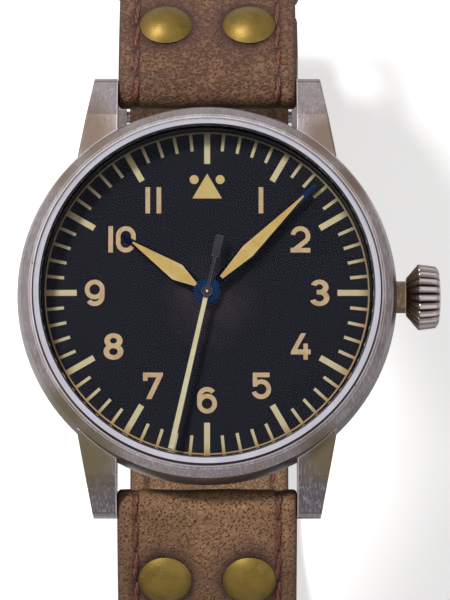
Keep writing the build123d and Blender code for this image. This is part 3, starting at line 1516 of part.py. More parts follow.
def turned_to_lower(shape):
    """The same piece on the 6 o'clock side of the case."""
    return Rot(0, 0, 180) * shape


tail_corner_start = lower_curve.point(strap_floor_angle)
tail_end = tail_corner_start[0] - strap_tail_length
tail_low = tail_corner_start[1] - 2 * half
tail_high = tail_corner_start[1] + 2 * half
tail_plan = RectangleRounded(strap_width, 4 * strap_width, strap_tail_corner)
tail_room = slab(Pos(0, tail_end + 2 * strap_width) * tail_plan, tail_low, tail_high - tail_low)
tail_zone = block(-strap_width, strap_width, tail_end - strap_width, tail_corner_start[0],
                  tail_low, tail_high)


def shaped_tail(shape):
    """Round the two corners at the strap's free end."""
    return shape - (tail_zone - tail_room)


def adjusting_holes(shape):
    """Cut the row of adjusting holes, counted back from the free end."""
    full = lower_curve.length(strap_floor_angle)
    for hole in range(hole_count):
        place = full + strap_tail_length - hole_tip_distance - hole * hole_pitch
        slope = lower_curve.slope_at(place)
        y, z = lower_curve.point(slope)
        shape -= Pos(0, y, z) * Rot(-slope, 0, 0) * rod(hole_radius, -2 * half, 2 * half)
    return shape


lower_leather = leather(lower_curve, strap_floor_angle, strap_floor_angle, strap_tail_length)
save("strap_lower_leather", turned_to_lower(adjusting_holes(shaped_tail(lower_leather))))
lower_lining = across(lower_curve.band(lining_start, strap_floor_angle, -half, 0, strap_tail_length),
                      strap_width)
save("strap_lower_lining", turned_to_lower(adjusting_holes(shaped_tail(lower_lining))))

save("rivets_upper", Compound(children=[rivet(side, upper_curve) for side in (-1, 1)]))
save("rivets_lower", turned_to_lower(Compound(children=[rivet(side, lower_curve) for side in (-1, 1)])))


def make_keeper(middle):
    """A leather loop round the upper half, with room on its outside for the tail."""
    start = middle - keeper_angle_width / 2
    end = middle + keeper_angle_width / 2
    inner = -half - keeper_face_gap
    outer = half + keeper_tail_room
    ring_side = upper_curve.band(start, end, inner - keeper_wall, outer + keeper_wall)
    room_side = upper_curve.band(middle - keeper_angle_width, middle + keeper_angle_width, inner, outer)
    room_width = strap_width + 2 * keeper_side_gap
    return across(ring_side, room_width + 2 * keeper_wall) - across(room_side, room_width)


save("keeper_fixed", make_keeper(fixed_keeper_angle))
save("keeper_free", make_keeper(free_keeper_angle))

# Buckle: the frame lies with its far end on the surface that the strap's tail lies on
floor_height = lower_curve.point(strap_floor_angle, half)[1]
buckle_drop = buckle_z - floor_height - buckle_rail_half_height
buckle_angle = 180 - math.degrees(math.asin(buckle_drop / buckle_length))
buckle_place = Pos(0, buckle_y, buckle_z) * Rot(-buckle_angle, 0, 0)
rail_inner = strap_width / 2 + buckle_rail_gap
rail_outer = rail_inner + buckle_rail_width
frame_plan = RectangleRounded(2 * rail_outer, buckle_back + buckle_length, buckle_corner)
frame_plan = Pos(0, (buckle_length - buckle_back) / 2) * frame_plan
opening_length = buckle_length - buckle_end_width + buckle_back
opening_plan = Rectangle(2 * rail_inner, opening_length, align=(Align.CENTER, Align.MAX))
frame_plan -= Pos(0, buckle_length - buckle_end_width) * opening_plan
buckle_frame = slab(frame_plan, -buckle_rail_half_height, 2 * buckle_rail_half_height)
buckle_frame -= rod_x(buckle_bar_radius, -rail_outer, rail_outer, 0, 0)
tongue_tip = buckle_length - tongue_inset
buckle_frame -= block(-slot_half, slot_half,
                      buckle_length - buckle_end_width - cut_overrun, buckle_length + cut_overrun,
                      buckle_notch_height, buckle_rail_half_height + cut_overrun)
save("buckle_frame", buckle_place * buckle_frame)
save("buckle_bar", buckle_place * rod_x(buckle_bar_radius, -rail_outer, rail_outer, 0, 0))

ring_inner = buckle_bar_radius + tongue_ring_gap
tongue_face = make_face([Plane.YZ * edge for edge in [
    Line((0, tongue_rise + tongue_thickness), (tongue_tip, tongue_rise + tongue_thickness - tongue_drop)),
    Line((tongue_tip, tongue_rise + tongue_thickness - tongue_drop), (tongue_tip, tongue_rise - tongue_drop)),
    Line((tongue_tip, tongue_rise - tongue_drop), (0, tongue_rise)),
    Line((0, tongue_rise), (0, tongue_rise + tongue_thickness)),
]])
tongue = across(tongue_face, tongue_width)
tongue += along_x(tongue_rise + tongue_thickness, tongue_width / 2, 0, 0)
tongue -= along_x(ring_inner, strap_width, 0, 0)
save("buckle_tongue", buckle_place * tongue)
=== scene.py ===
"""Pilot watch: looks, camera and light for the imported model."""

import math

import bmesh
import bpy
from mathutils import Matrix, Vector, noise


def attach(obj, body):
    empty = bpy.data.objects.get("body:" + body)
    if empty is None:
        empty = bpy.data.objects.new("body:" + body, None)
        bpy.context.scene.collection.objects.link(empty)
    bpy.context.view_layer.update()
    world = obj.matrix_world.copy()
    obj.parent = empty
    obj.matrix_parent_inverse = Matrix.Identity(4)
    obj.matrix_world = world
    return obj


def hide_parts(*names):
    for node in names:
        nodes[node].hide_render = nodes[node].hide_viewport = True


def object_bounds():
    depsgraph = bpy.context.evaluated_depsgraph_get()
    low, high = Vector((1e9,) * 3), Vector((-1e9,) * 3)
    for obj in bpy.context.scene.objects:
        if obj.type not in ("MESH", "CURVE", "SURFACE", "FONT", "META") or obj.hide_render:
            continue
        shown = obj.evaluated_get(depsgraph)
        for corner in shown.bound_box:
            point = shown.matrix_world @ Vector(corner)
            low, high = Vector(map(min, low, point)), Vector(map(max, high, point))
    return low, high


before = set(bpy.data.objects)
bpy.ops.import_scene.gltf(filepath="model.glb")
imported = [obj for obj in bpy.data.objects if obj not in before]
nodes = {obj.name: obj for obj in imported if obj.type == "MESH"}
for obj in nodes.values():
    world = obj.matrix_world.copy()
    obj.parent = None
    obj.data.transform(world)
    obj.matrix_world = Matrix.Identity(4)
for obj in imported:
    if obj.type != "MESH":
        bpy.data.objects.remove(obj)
cad_bounds = [list(corner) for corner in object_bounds()]
scene = bpy.context.scene

# Sizes in millimetres, as the solids have them, but for the strap, which is 0.14 wider here
mm = 0.001
strap_width = 20.14
layer = 1.9
bar_distance = 23.5
bar_height = 3.2
bar_hole = 0.8
bar_slope = 20.0
near_radius = 30.0
near_slope = 42.0
side_radius = 40.0
side_slope = 90.0
lower_radius = 35.0
lower_slope = 150.0
floor_radius = 25.0
floor_slope = 180.0
tail_length = 21.0
tail_corner = 7.5
upper_radius = 32.0
upper_slope = 149.0
fold_slope = 54.0
buckle_fold_slope = 132.0

# Camera: the dial seen from a little towards 6 o'clock
dial_height = 8.0
camera_distance = 500.0
camera_tilt = 7.0
frame_height = 67.0
aim_right = 2.0
aim_down = 0.8
sensor_height = 24.0
nearest_seen = 10.0

# Softboxes as name, direction, distance, size and strength, then the world and the floor
lamps = (("key", (-0.55, 0.62, 1.0), 600, 95, 0.84), ("fill", (0.9, -0.2, 0.9), 700, 400, 0.08))
world_light = 0.3
floor_glow = 0.5
floor_half = 900.0

# How materials find patches, rings and corners
patch_core_share = 0.25
ring_blur = 0.03
corner_samples = 8
corner_low = 0.01
corner_high = 0.12


def place(x, y, z):
    """A point given in millimetres."""
    return Vector((x, y, z)) * mm


def paint(red, green, blue):
    """A colour written as it looks on screen, in the renderer's own values."""
    shares = [value / 255 for value in (red, green, blue)]
    return tuple(s / 12.92 if s <= 0.04045 else ((s + 0.055) / 1.055) ** 2.4 for s in shares) + (1.0,)


def paints(*colours):
    return [paint(*colour) for colour in colours]


def aim(thing, location, target):
    """Put a lamp or camera at a place, facing a target."""
    thing.location = location
    thing.rotation_euler = (target - location).to_track_quat("-Z", "Y").to_euler()


def put(name, data):
    """A new object in the scene."""
    thing = bpy.data.objects.new(name, data)
    scene.collection.objects.link(thing)
    return thing


def add_camera():
    lens = bpy.data.cameras.new("camera")
    lens.sensor_fit = "VERTICAL"
    lens.sensor_height = sensor_height
    lens.lens = sensor_height * camera_distance / frame_height
    lens.clip_start = nearest_seen * mm
    thing = put("camera", lens)
    target = place(aim_right, -aim_down, dial_height)
    tilt = math.radians(camera_tilt)
    back = Vector((0, -math.sin(tilt), math.cos(tilt)))
    aim(thing, target + back * camera_distance * mm, target)
    scene.camera = thing


def add_lamp(name, direction, distance, size, strength):
    """A square softbox; strength 1 lights a white surface that faces it to white."""
    lamp = bpy.data.lights.new(name, "AREA")
    lamp.size = size * mm
    lamp.energy = strength * (math.pi * distance * mm) ** 2
    thing = put(name, lamp)
    target = place(0, 0, dial_height)
    aim(thing, target + Vector(direction).normalized() * distance * mm, target)


class Nodes:
    """A node tree, built call by call. A share is a value from 0 to 1."""

    def __init__(self, tree):
        self.tree = tree

    def add(self, kind, inputs=(), **settings):
        """A new node with its settings, and its inputs fed by name or by number."""
        node = self.tree.nodes.new(kind)
        for key, value in settings.items():
            setattr(node, key, value)
        for key, value in dict(inputs).items():
            self.feed(node.inputs[key], value)
        return node

    def feed(self, socket, value):
        """Link another node's output to a socket, or set the socket to a plain value."""
        if isinstance(value, bpy.types.NodeSocket):
            self.tree.links.new(value, socket)
        else:
            socket.default_value = value

    def math(self, operation, first, second=0.0, clamp=False):
        node = self.add("ShaderNodeMath", {0: first, 1: second}, operation=operation, use_clamp=clamp)
        return node.outputs[0]

    def chain(self, operation, values):
        """Several values joined in turn by one operation."""
        total = values[0]
        for value in values[1:]:
            total = self.math(operation, total, value)
        return total

    def both(self, *shares):
        """The product of several shares."""
        return self.chain("MULTIPLY", shares)

    def either(self, *shares):
        """The largest of several shares."""
        return self.chain("MAXIMUM", shares)

    def rest(self, share):
        """What a share leaves of 1."""
        return self.math("SUBTRACT", 1.0, share)


class Shader(Nodes):
    """One material's nodes. Lengths and scales are per millimetre."""

    def __init__(self, name, roughness, metallic=0.0):
        self.material = bpy.data.materials.new(name)
        self.material.use_nodes = True
        super().__init__(self.material.node_tree)
        self.surface = self.tree.nodes["Principled BSDF"]
        self.set("Roughness", roughness)
        self.set("Metallic", metallic)
        self.position = self.add("ShaderNodeTexCoord").outputs["Object"]
        self.relief = None

    def set(self, name, value):
        self.feed(self.surface.inputs[name], value)

    def colour(self, tone):
        self.set("Base Color", tone)

    def show(self, shader):
        """Make a shader's output the surface of the material."""
        self.feed(self.tree.nodes["Material Output"].inputs["Surface"], shader)

    def roughen(self, start, *growth):
        """Roughness that starts at a value and grows by each share times its spread."""
        self.set("Roughness", self.chain("ADD", [self.both(*pair) for pair in growth] + [start]))

    def stretched(self, x=1.0, y=1.0, z=1.0, shift=0.0):
        """Position in millimetres, stretched along the axes."""
        sockets = {"Vector": self.position, "Scale": (x / mm, y / mm, z / mm), "Location": (shift,) * 3}
        return self.add("ShaderNodeMapping", sockets).outputs["Vector"]

    def noise(self, scale, detail=3.0, vector=None, rough=0.5, distortion=0.0):
        sockets = {"Vector": vector or self.stretched(), "Scale": scale, "Detail": detail,
                   "Roughness": rough, "Distortion": distortion}
        return self.add("ShaderNodeTexNoise", sockets).outputs["Fac"]

    def cells(self, scale, vector, feature="F1"):
        sockets = {"Vector": vector, "Scale": scale}
        return self.add("ShaderNodeTexVoronoi", sockets, feature=feature).outputs["Distance"]

    def hairs(self, scale, squeeze=0.2, shift=5.0, low=0.6):
        """Hairline scratches along X."""
        return self.band(self.noise(scale, 2.0, self.stretched(squeeze, shift=shift), 0.4), low, 0.72)

    def specks(self, scale, low, high, shift=13.0):
        """Small scattered spots."""
        return self.band(self.noise(scale, 3.0, self.stretched(shift=shift), 0.6), low, high)

    def mix(self, first, second, *shares):
        """The first colour, with the second laid over it by the product of the shares."""
        node = self.add("ShaderNodeMix", data_type="RGBA")
        sockets = {socket.identifier: socket for socket in [*node.inputs, *node.outputs]}
        self.feed(sockets["Factor_Float"], self.both(*shares))
        self.feed(sockets["A_Color"], first)
        self.feed(sockets["B_Color"], second)
        return sockets["Result_Color"]

    def distance(self, x=0.0, y=0.0):
        """Distance in millimetres from an upright line."""
        sockets = {0: self.stretched(z=0.0), 1: (x, y, 0.0)}
        return self.add("ShaderNodeVectorMath", sockets, operation="DISTANCE").outputs["Value"]

    def patch(self, x, y, reach):
        """1 at the middle of a round patch seen from above, falling to 0 at its reach."""
        return self.rest(self.band(self.distance(x, y), reach * patch_core_share, reach))

    def ring(self, inner, outer):
        """1 between two radii round the upright axis of the watch."""
        radius = self.distance()
        beyond = self.band(radius, outer, outer + ring_blur)
        return self.both(self.band(radius, inner - ring_blur, inner), self.rest(beyond))

    def corners(self, width):
        """1 along the sharp edges, to a width in millimetres, and 0 on flat faces."""
        rounded = self.add("ShaderNodeBevel", {"Radius": width * mm}, samples=corner_samples)
        flat = self.add("ShaderNodeNewGeometry")
        normals = {0: rounded.outputs["Normal"], 1: flat.outputs["Normal"]}
        likeness = self.add("ShaderNodeVectorMath", normals, operation="DOT_PRODUCT").outputs["Value"]
        return self.band(self.rest(likeness), corner_low, corner_high)

    def axis(self, name):
        """One coordinate in millimetres."""
        return self.add("ShaderNodeSeparateXYZ", {0: self.stretched()}).outputs[name]

    def attribute(self, name):
        return self.add("ShaderNodeAttribute", attribute_name=name).outputs["Fac"]

    def band(self, value, low, high):
        """0 below low, 1 above high, smooth between."""
        sockets = {"Value": value, "From Min": low, "From Max": high}
        return self.add("ShaderNodeMapRange", sockets, interpolation_type="SMOOTHSTEP").outputs["Result"]

    def bump(self, height, depth):
        """Relief whose full height is depth millimetres, on top of the relief given before it."""
        sockets = {"Distance": depth * mm, "Height": height}
        if self.relief:
            sockets["Normal"] = self.relief
        self.relief = self.add("ShaderNodeBump", sockets).outputs["Normal"]
        self.set("Normal", self.relief)


# Colours as they look in plain light; the groove and hollow colours are painted shade
white = paint(255, 255, 255)
black = paint(6, 6, 8)
steel = paint(150, 140, 142)
steel_pale = paint(214, 208, 214)
steel_dark = paint(112, 104, 110)
steel_low = paint(84, 77, 82)
patina = paint(98, 84, 52)
patina_brown = paint(106, 85, 68)
bezel_tone = paint(198, 195, 206)
bezel_haze = paint(176, 172, 184)
print_tone = paint(214, 184, 142)
print_dark = paint(176, 140, 92)
marker_tone = paint(218, 204, 160)
marker_warm = paint(184, 142, 92)
marker_olive = paint(122, 108, 66)
triangle_tone = paint(212, 186, 116)
lume_tone = paint(214, 182, 104)
lume_stain = paint(196, 156, 82)
lume_rim = paint(224, 206, 146)
pale_tone = paint(222, 217, 172)
dial_tone = paint(30, 30, 36)
# The next colour is the dial's grain and its painted sheen
dial_grain_and_sheen = paint(66, 58, 60)
blued_dark = paint(11, 17, 34)
blued_light = paint(20, 50, 90)
hand_grey = paint(44, 42, 48)
arbor_grey = paint(40, 37, 46)
brass_tone = paint(120, 99, 50)
brass_dark = paint(72, 58, 26)
brass_light = paint(176, 152, 92)
crown_tone = paint(140, 125, 120)
# Painted shade for grooves and gaps
groove_shade = paint(46, 40, 36)
crown_olive = paint(110, 88, 46)
coating_tone = (0.06, 0.065, 0.1, 1.0)
nickel_tone = paint(196, 190, 180)
nickel_dark = paint(150, 146, 140)
gilt_tone = paint(196, 164, 92)
gilt_dark = paint(140, 110, 56)
wheel_steel = paint(170, 170, 174)
wheel_steel_dark = paint(112, 112, 118)
rubber_tone = paint(34, 33, 34)
rubber_dust = paint(72, 70, 68)
seal_tone = paint(12, 12, 15)
seal_dust = paint(24, 24, 28)
buckle_tone = paint(164, 154, 152)
buckle_dark = paint(110, 102, 100)
jewel_deep = paint(150, 20, 50)
jewel_light = paint(196, 44, 80)
floor_tone = paint(244, 243, 242)
thread_dark = paint(72, 34, 26)
thread_tone = paint(134, 76, 58)
fold_tone = paint(60, 48, 22)
# Painted shade for stitch holes, stitch rows and the rims of rivets
hollow_shade = paint(46, 26, 20)

# Leather as light, middle, dark, pore and edge
upper_tones = paints((144, 106, 78), (116, 82, 61), (92, 61, 48), (66, 40, 30), (84, 54, 50))
lower_tones = paints((168, 128, 93), (141, 105, 73), (116, 84, 60), (70, 45, 29), (92, 62, 55))
lining_tones = paints((178, 142, 108), (160, 124, 92), (134, 100, 72), (104, 74, 52), (90, 62, 54))

# Places on the watch, seen from above, in millimetres
lug_line = 21.2
lug_chamfer_start = 24.45
lower_lugs = (-22.0, -14.0)
case_groove = (18.0, 19.52)
# The next ring is a painted highlight round the case's lip
lip_highlight = (19.58, 19.66)
bezel_groove = (19.33, 20.0)
triangle_zone = (13.2, 13.6)
blued_tips = (13.8, 14.6)
above_dial = (7.0, 7.2)
# The next two lines place the dial's painted sheen
dial_sheen_middle = (0.6, -0.8)
dial_sheen_reach = (0.5, 6.5)
hour_hand_angle = 304.0
minute_hand_angle = 45.0
hour_lume_half = 1.0
minute_lume_half = 0.8
patina_places = ((-13.7, 18.3, 5.5), (-16.9, 14.2, 4.0), (13.6, 17.6, 4.5), (16.9, 13.0, 4.0),
                 (-16.2, -13.9, 5.5), (-13.6, -18.0, 6.0), (13.6, -18.2, 4.5))
bezel_inside = 18.74
marker_outside = 18.0
hub_radius = 1.5
arbor_shine_radius = 0.11
crown_axis_height = 4.0
crown_cone_start = 22.4
crown_cone_end = 24.0


def case_material():
    """Worn satin steel: brushed lugs, patina at their roots, small dark nicks; painted shade to the lower
    right, on the lower lugs, at the lug tips and in the groove; painted highlights on the lip, the lug tips
    and the edges, which are also rubbed pale.
    """
    s = Shader("case_steel", 0.36, 1.0)
    mottle = s.noise(0.45, 5.0, rough=0.6)
    brushed = s.noise(3.4, 3.0, s.stretched(1.5, 0.16), 0.6)
    grain = s.noise(6.0, 3.0, s.stretched(shift=7.0), 0.6)
    specks = s.specks(2.2, 0.66, 0.73)
    lugs = s.band(s.distance(), lug_line, lug_line + 0.3)
    up = s.axis("Y")
    lower = s.rest(s.band(up, *lower_lugs))
    right = s.band(s.math("SUBTRACT", s.axis("X"), up), 2.0, 26.0)
    old = s.both(s.either(*[s.patch(*spot) for spot in patina_places]), s.band(mottle, 0.02, 0.34))
    end = s.math("ABSOLUTE", up)
    tip = s.band(end, lug_chamfer_start, lug_chamfer_start + 0.04)
    tip_line = s.both(s.band(end, lug_chamfer_start - 0.12, lug_chamfer_start - 0.08), s.rest(tip))
    # Painted shade: the steel darker towards the lower right
    tone = s.mix(steel, steel_dark, right, 0.7)
    tone = s.mix(tone, patina_brown, s.band(mottle, 0.42, 0.7), 0.4)
    # Painted shade: the lower lugs darker
    tone = s.mix(tone, steel_low, lower, lugs, 0.85)
    tone = s.mix(tone, patina_brown, old, s.band(up, -8.0, 8.0), 0.9)
    tone = s.mix(tone, patina, old, s.rest(s.band(up, -8.0, 14.0)), 0.85)
    tone = s.mix(tone, steel_pale, s.band(brushed, 0.45, 0.75), s.rest(old), 0.3)
    tone = s.mix(tone, steel_dark, s.band(grain, 0.5, 0.8), 0.3)
    # Painted shade: a dark line where the lug tips' chamfer starts; painted highlight: the chamfer itself
    # paler
    tone = s.mix(s.mix(tone, steel_low, tip_line, 0.7), steel, tip, 0.4)
    # Pale edges: partly rubbed wear, partly painted highlight; the lip ring is painted highlight
    edges = s.either(s.corners(0.25), s.both(s.ring(*lip_highlight), 0.6))
    tone = s.mix(tone, steel_pale, edges, s.rest(s.both(specks, 0.8)), 0.85)
    # Painted shade in the groove and recess inside the case, under the bezel
    tone = s.mix(tone, groove_shade, s.ring(*case_groove), 0.8)
    tone = s.mix(tone, steel_low, specks, 0.6)
    s.colour(tone)
    s.roughen(0.27, (brushed, 0.16), (old, 0.14))
    s.set("Metallic", s.rest(s.both(old, 0.7)))
    s.bump(brushed, 0.012)
    s.bump(s.rest(specks), 0.03)
    return s


def steel_material(name, base, dark, roughness=0.34, stains=0.4):
    """Satin steel, finely brushed, with a little grime, and pale edges, partly rubbed and partly painted
    highlight.
    """
    s = Shader(name, roughness, 1.0)
    mottle = s.noise(0.4, 5.0, rough=0.6)
    brushed = s.noise(4.0, 3.0, s.stretched(y=0.14), 0.6)
    specks = s.specks(2.4, 0.66, 0.74)
    tone = s.mix(base, dark, s.band(mottle, 0.4, 0.7), stains)
    tone = s.mix(tone, steel_pale, s.band(brushed, 0.5, 0.8), 0.4)
    # Pale edges: partly rubbed wear, partly painted highlight
    tone = s.mix(tone, steel_pale, s.corners(0.15), 0.6)
    s.colour(s.mix(tone, steel_low, specks, 0.5))
    s.roughen(roughness - 0.08, (brushed, 0.16))
    s.bump(brushed, 0.01)
    s.bump(s.rest(specks), 0.02)
    return s


def polished_material(name, base, haze, roughness=0.16):
    """Polished metal with faint haze and hairline wear."""
    s = Shader(name, roughness, 1.0)
    clouds = s.noise(0.5)
    hairs = s.hairs(9.0)
    s.colour(s.mix(base, haze, s.band(clouds, 0.35, 0.7), 0.5))
    s.roughen(roughness - 0.04, (clouds, 0.1))
    s.bump(hairs, 0.003)
    return s


def bezel_material():
    """Polished ring; painted shade darkens the lip under the crystal and the gap at its outer wall."""
    s = Shader("bezel_steel", 0.15, 1.0)
    clouds = s.noise(0.4)
    hairs = s.hairs(8.0)
    lip = s.rest(s.band(s.distance(), bezel_inside - 0.05, bezel_inside))
    tone = s.mix(bezel_tone, bezel_haze, s.band(clouds, 0.35, 0.7), 0.4)
    # Painted shade in the gap at the bezel's outer wall, and on the lip under the crystal
    tone = s.mix(tone, groove_shade, s.ring(*bezel_groove))
    s.colour(s.mix(tone, black, lip))
    s.roughen(0.1, (clouds, 0.08), (lip, 0.4))
    s.bump(hairs, 0.002)
    return s


def chalk(s, tone, dark, scale, share, depth):
    """Finish a chalky print: dark grains over its tone, and their relief."""
    grains = s.noise(scale, 3.0, s.stretched(shift=3.0), 0.7)
    s.colour(s.mix(tone, dark, s.band(grains, 0.5, 0.8), share))
    s.bump(grains, depth)
    return s


def print_material(name, base, dark, grain=5.0):
    """Raised luminous print: chalky, grainy and a little stained."""
    s = Shader(name, 0.8)
    stain = s.band(s.noise(0.7, 4.0, distortion=0.5), 0.42, 0.72)
    return chalk(s, s.mix(base, dark, stain, 0.5), dark, grain, 0.7, 0.02)


def marker_material():
    """Minute marks: pale inside, olive at the upper rim and orange at the lower; a yellower triangle."""
    s = Shader("marker_print", 0.8)
    from_middle = s.distance()
    rim = s.band(from_middle, marker_outside - 1.3, marker_outside + 0.1)
    low = s.rest(s.band(s.axis("Y"), -12.0, 12.0))
    inner = s.rest(s.band(from_middle, *triangle_zone))
    tone = s.mix(marker_tone, s.mix(marker_olive, marker_warm, low), rim, 0.85)
    return chalk(s, s.mix(tone, triangle_tone, inner), print_dark, 5.0, 0.6, 0.02)


def lume_material(middle_line, half_width):
    """Luminous filling of a sword hand: warm along its middle, paler towards its rim."""
    s = Shader("lume", 0.8)
    stain = s.band(s.noise(0.8, 4.0, distortion=0.5), 0.4, 0.7)
    angle = math.radians(middle_line)
    sockets = {0: s.stretched(), 1: (math.cos(angle), -math.sin(angle), 0.0)}
    across = s.add("ShaderNodeVectorMath", sockets, operation="DOT_PRODUCT").outputs["Value"]
    rim = s.band(s.math("ABSOLUTE", across), 0.35 * half_width, half_width)
    tone = s.mix(lume_tone, lume_stain, stain, 0.45)
    return chalk(s, s.mix(tone, lume_rim, rim, 0.6), lume_stain, 4.5, 0.5, 0.03)


def dial_material():
    """Matt black dial, with a painted brownish grey sheen round its middle."""
    s = Shader("dial_black", 0.62)
    clouds = s.noise(0.22, 4.0, distortion=0.6)
    # Painted sheen: brownish grey round the middle
    sheen = s.both(s.rest(s.band(s.distance(*dial_sheen_middle), *dial_sheen_reach)), s.band(clouds, 0.2, 0.7))
    grains = s.noise(7.0, 3.0, s.stretched(shift=9.0), 0.7)
    tone = s.mix(dial_tone, dial_grain_and_sheen, sheen, 0.9)
    s.colour(s.mix(tone, dial_grain_and_sheen, s.band(grains, 0.55, 0.8), 0.1))
    s.set("Specular IOR Level", 0.03)
    s.bump(grains, 0.002)
    return s


def crystal_material():
    """Clear coated crystal that lets the light through to the dial."""
    s = Shader("crystal", 0.02)
    s.set("Transmission Weight", 1.0)
    s.set("IOR", 1.5)
    s.set("Specular Tint", coating_tone)
    smears = s.noise(0.25, distortion=1.0)
    s.set("Roughness", s.both(s.band(smears, 0.5, 0.8), 0.02))
    clear = s.add("ShaderNodeBsdfTransparent").outputs["BSDF"]
    rays = s.add("ShaderNodeLightPath").outputs
    passing = s.either(rays["Is Shadow Ray"], rays["Is Diffuse Ray"])
    blend = s.add("ShaderNodeMixShader", {"Fac": passing, 1: s.surface.outputs["BSDF"], 2: clear})
    s.show(blend.outputs["Shader"])
    return s


def blued_material():
    """Heat-blued steel: nearly black along the hands, clear blue on the hubs and tips."""
    s = Shader("blued_steel", 0.28, 1.0)
    clouds = s.noise(0.45, distortion=0.6)
    from_middle = s.distance()
    hub = s.rest(s.band(from_middle, hub_radius, hub_radius + 0.2))
    blue = s.either(hub, s.band(from_middle, *blued_tips))
    share = s.both(blue, s.math("ADD", s.both(clouds, 0.6), 0.6))
    s.colour(s.mix(blued_dark, blued_light, share))
    brushed = s.noise(8.0, 2.0, s.stretched(y=0.3))
    s.roughen(0.24, (brushed, 0.1))
    s.bump(brushed, 0.004)
    return s


def seconds_material():
    """Dark grey steel of the seconds hand, with a fine pale line where its edges catch the light."""
    s = Shader("seconds_steel", 0.4, 0.6)
    haze = s.noise(1.2)
    tone = s.mix(hand_grey, arbor_grey, haze)
    s.colour(s.mix(tone, steel, s.corners(0.05), 0.9))
    s.roughen(0.35, (haze, 0.15))
    s.bump(haze, 0.004)
    return s


def brass_material(name, base, dark, light, roughness=0.3):
    """Antique brass: satin, olive in cloudy patches, lighter where it is rubbed, finely scratched."""
    s = Shader(name, roughness, 1.0)
    clouds = s.noise(0.5, 4.0, distortion=0.3)
    specks = s.specks(3.2, 0.62, 0.74, 4.0)
    scratches = s.hairs(7.0, 0.15, 8.0, 0.62)
    tone = s.mix(base, dark, s.band(clouds, 0.4, 0.8), 0.45)
    tone = s.mix(tone, light, scratches, 0.25)
    s.colour(s.mix(tone, dark, specks, 0.3))
    s.roughen(roughness - 0.06, (clouds, 0.12))
    s.bump(scratches, 0.004)
    s.bump(s.rest(specks), 0.008)
    return s


def crown_material():
    """Worn steel crown: painted shade in its grooves, olive towards its cone, painted highlight along its
    ridges.
    """
    s = Shader("crown_steel", 0.3, 1.0)
    clouds = s.noise(0.6, 5.0, distortion=0.5)
    cone = s.rest(s.band(s.axis("X"), crown_cone_start, crown_cone_end + 0.4))
    groove = s.rest(s.band(s.attribute("ridge"), 0.1, 0.75))
    tone = s.mix(crown_tone, steel_dark, s.band(clouds, 0.4, 0.75), 0.7)
    tone = s.mix(tone, crown_olive, cone, s.band(clouds, 0.1, 0.4), 0.95)
    # Painted highlight along the ridges
    tone = s.mix(tone, steel_pale, s.band(s.attribute("ridge"), 0.82, 0.98), s.rest(cone), 0.6)
    # Painted shade in the grooves
    s.colour(s.mix(tone, groove_shade, groove, 0.92))
    s.roughen(0.16, (clouds, 0.12), (groove, 0.2))
    s.bump(s.noise(4.0), 0.01)
    return s


def gilt_material(name, base, dark, roughness=0.28):
    """Machined movement metal with fine turning marks."""
    s = Shader(name, roughness, 1.0)
    haze = s.noise(0.5)
    lines = s.noise(10.0, 1.0, s.stretched(0.15))
    s.colour(s.mix(base, dark, s.band(haze, 0.4, 0.7)))
    s.roughen(roughness - 0.08, (lines, 0.15))
    s.bump(lines, 0.006)
    return s


def arbor_material():
    """Gilt wheel whose arbor, where it comes up through the hands, is dark steel with a painted highlight at
    its middle.
    """
    s = Shader("seconds_arbor", 0.25, 1.0)
    haze = s.noise(0.6)
    above = s.band(s.axis("Z"), *above_dial)
    # Painted highlight: a pale dot at the arbor's middle
    shine = s.rest(s.band(s.distance(), arbor_shine_radius, arbor_shine_radius + 0.06))
    tone = s.mix(gilt_tone, gilt_dark, haze)
    s.colour(s.mix(tone, s.mix(arbor_grey, steel_pale, shine), above))
    s.roughen(0.2, (haze, 0.15))
    s.bump(haze, 0.004)
    return s


def rubber_material(name, base, light):
    """Soft black sealing ring."""
    s = Shader(name, 0.6)
    dust = s.noise(1.5, 4.0, rough=0.7)
    s.colour(s.mix(base, light, s.band(dust, 0.55, 0.85)))
    s.bump(dust, 0.01)
    return s


def jewel_material():
    """Ruby-red synthetic stone."""
    s = Shader("jewel", 0.06)
    depth = s.noise(1.2, 2.0)
    s.colour(s.mix(jewel_deep, jewel_light, depth))
    s.set("Coat Weight", 0.5)
    return s


# Leather: how it is cut, sewn and pressed, in millimetres
edge_radius = 0.5
edge_segments = 4
layer_gap = 0.02
seam_gap = 0.05
skive_length = 4.0
bar_steps = 14
strap_columns = 44
station_step = 0.45
rivet_angle = 35.4
rivet_side = 4.75
rivet_radius = 3.0
rivet_press = 0.2
rivet_shade = 0.7
rivet_dish = 1.5
halo_reach = 1.6
stitch_side = 8.0
stitch_pitch = 3.5
stitch_length = 3.42
stitch_start = -2.3
stitch_lean = 0.2
stitch_fullness = 0.22
hole_lead = 0.35
whole_stitches = 10
groove_width = 0.6
groove_depth = 0.14
strand_radius = 0.17
strand_offset = 0.14
strand_turns = 1.5
strand_points = 10
strand_sides = 6
strand_depth_share = 0.6
leather_swell = 0.07
swell_scale = 0.2
front_seed = 5.0
back_seed = 9.0
crown_rise = 0.16
crown_until = 22.0
edge_fall = 1.4
rim_start = 8.9
rim_width = 0.9
hole_radius = 1.1
hole_segments = 32
hole_pitch = 6.5
hole_count = 7
hole_tip_distance = 26.0
slot_half = 1.55
slot_length = 6.5
tail_steps = 12
pore_scale = 3.0
pore_wobble = 0.7
worm_scale = 2.3
crease_scale = 1.9
fold_reach = 4.0
fold_turn = 0.9
stitch_lift = 0.1
stitch_sink = 0.34
keeper_wall = 1.0
keeper_side_gap = 0.12
keeper_face_gap = 0.25
keeper_tail_room = 4.3
keeper_width_angle = 9.5
keeper_corner = 0.8
keeper_corner_steps = 6
keeper_side_steps = 12
keeper_columns = 8
fixed_keeper_angle = 135.0
free_keeper_angle = 106.0


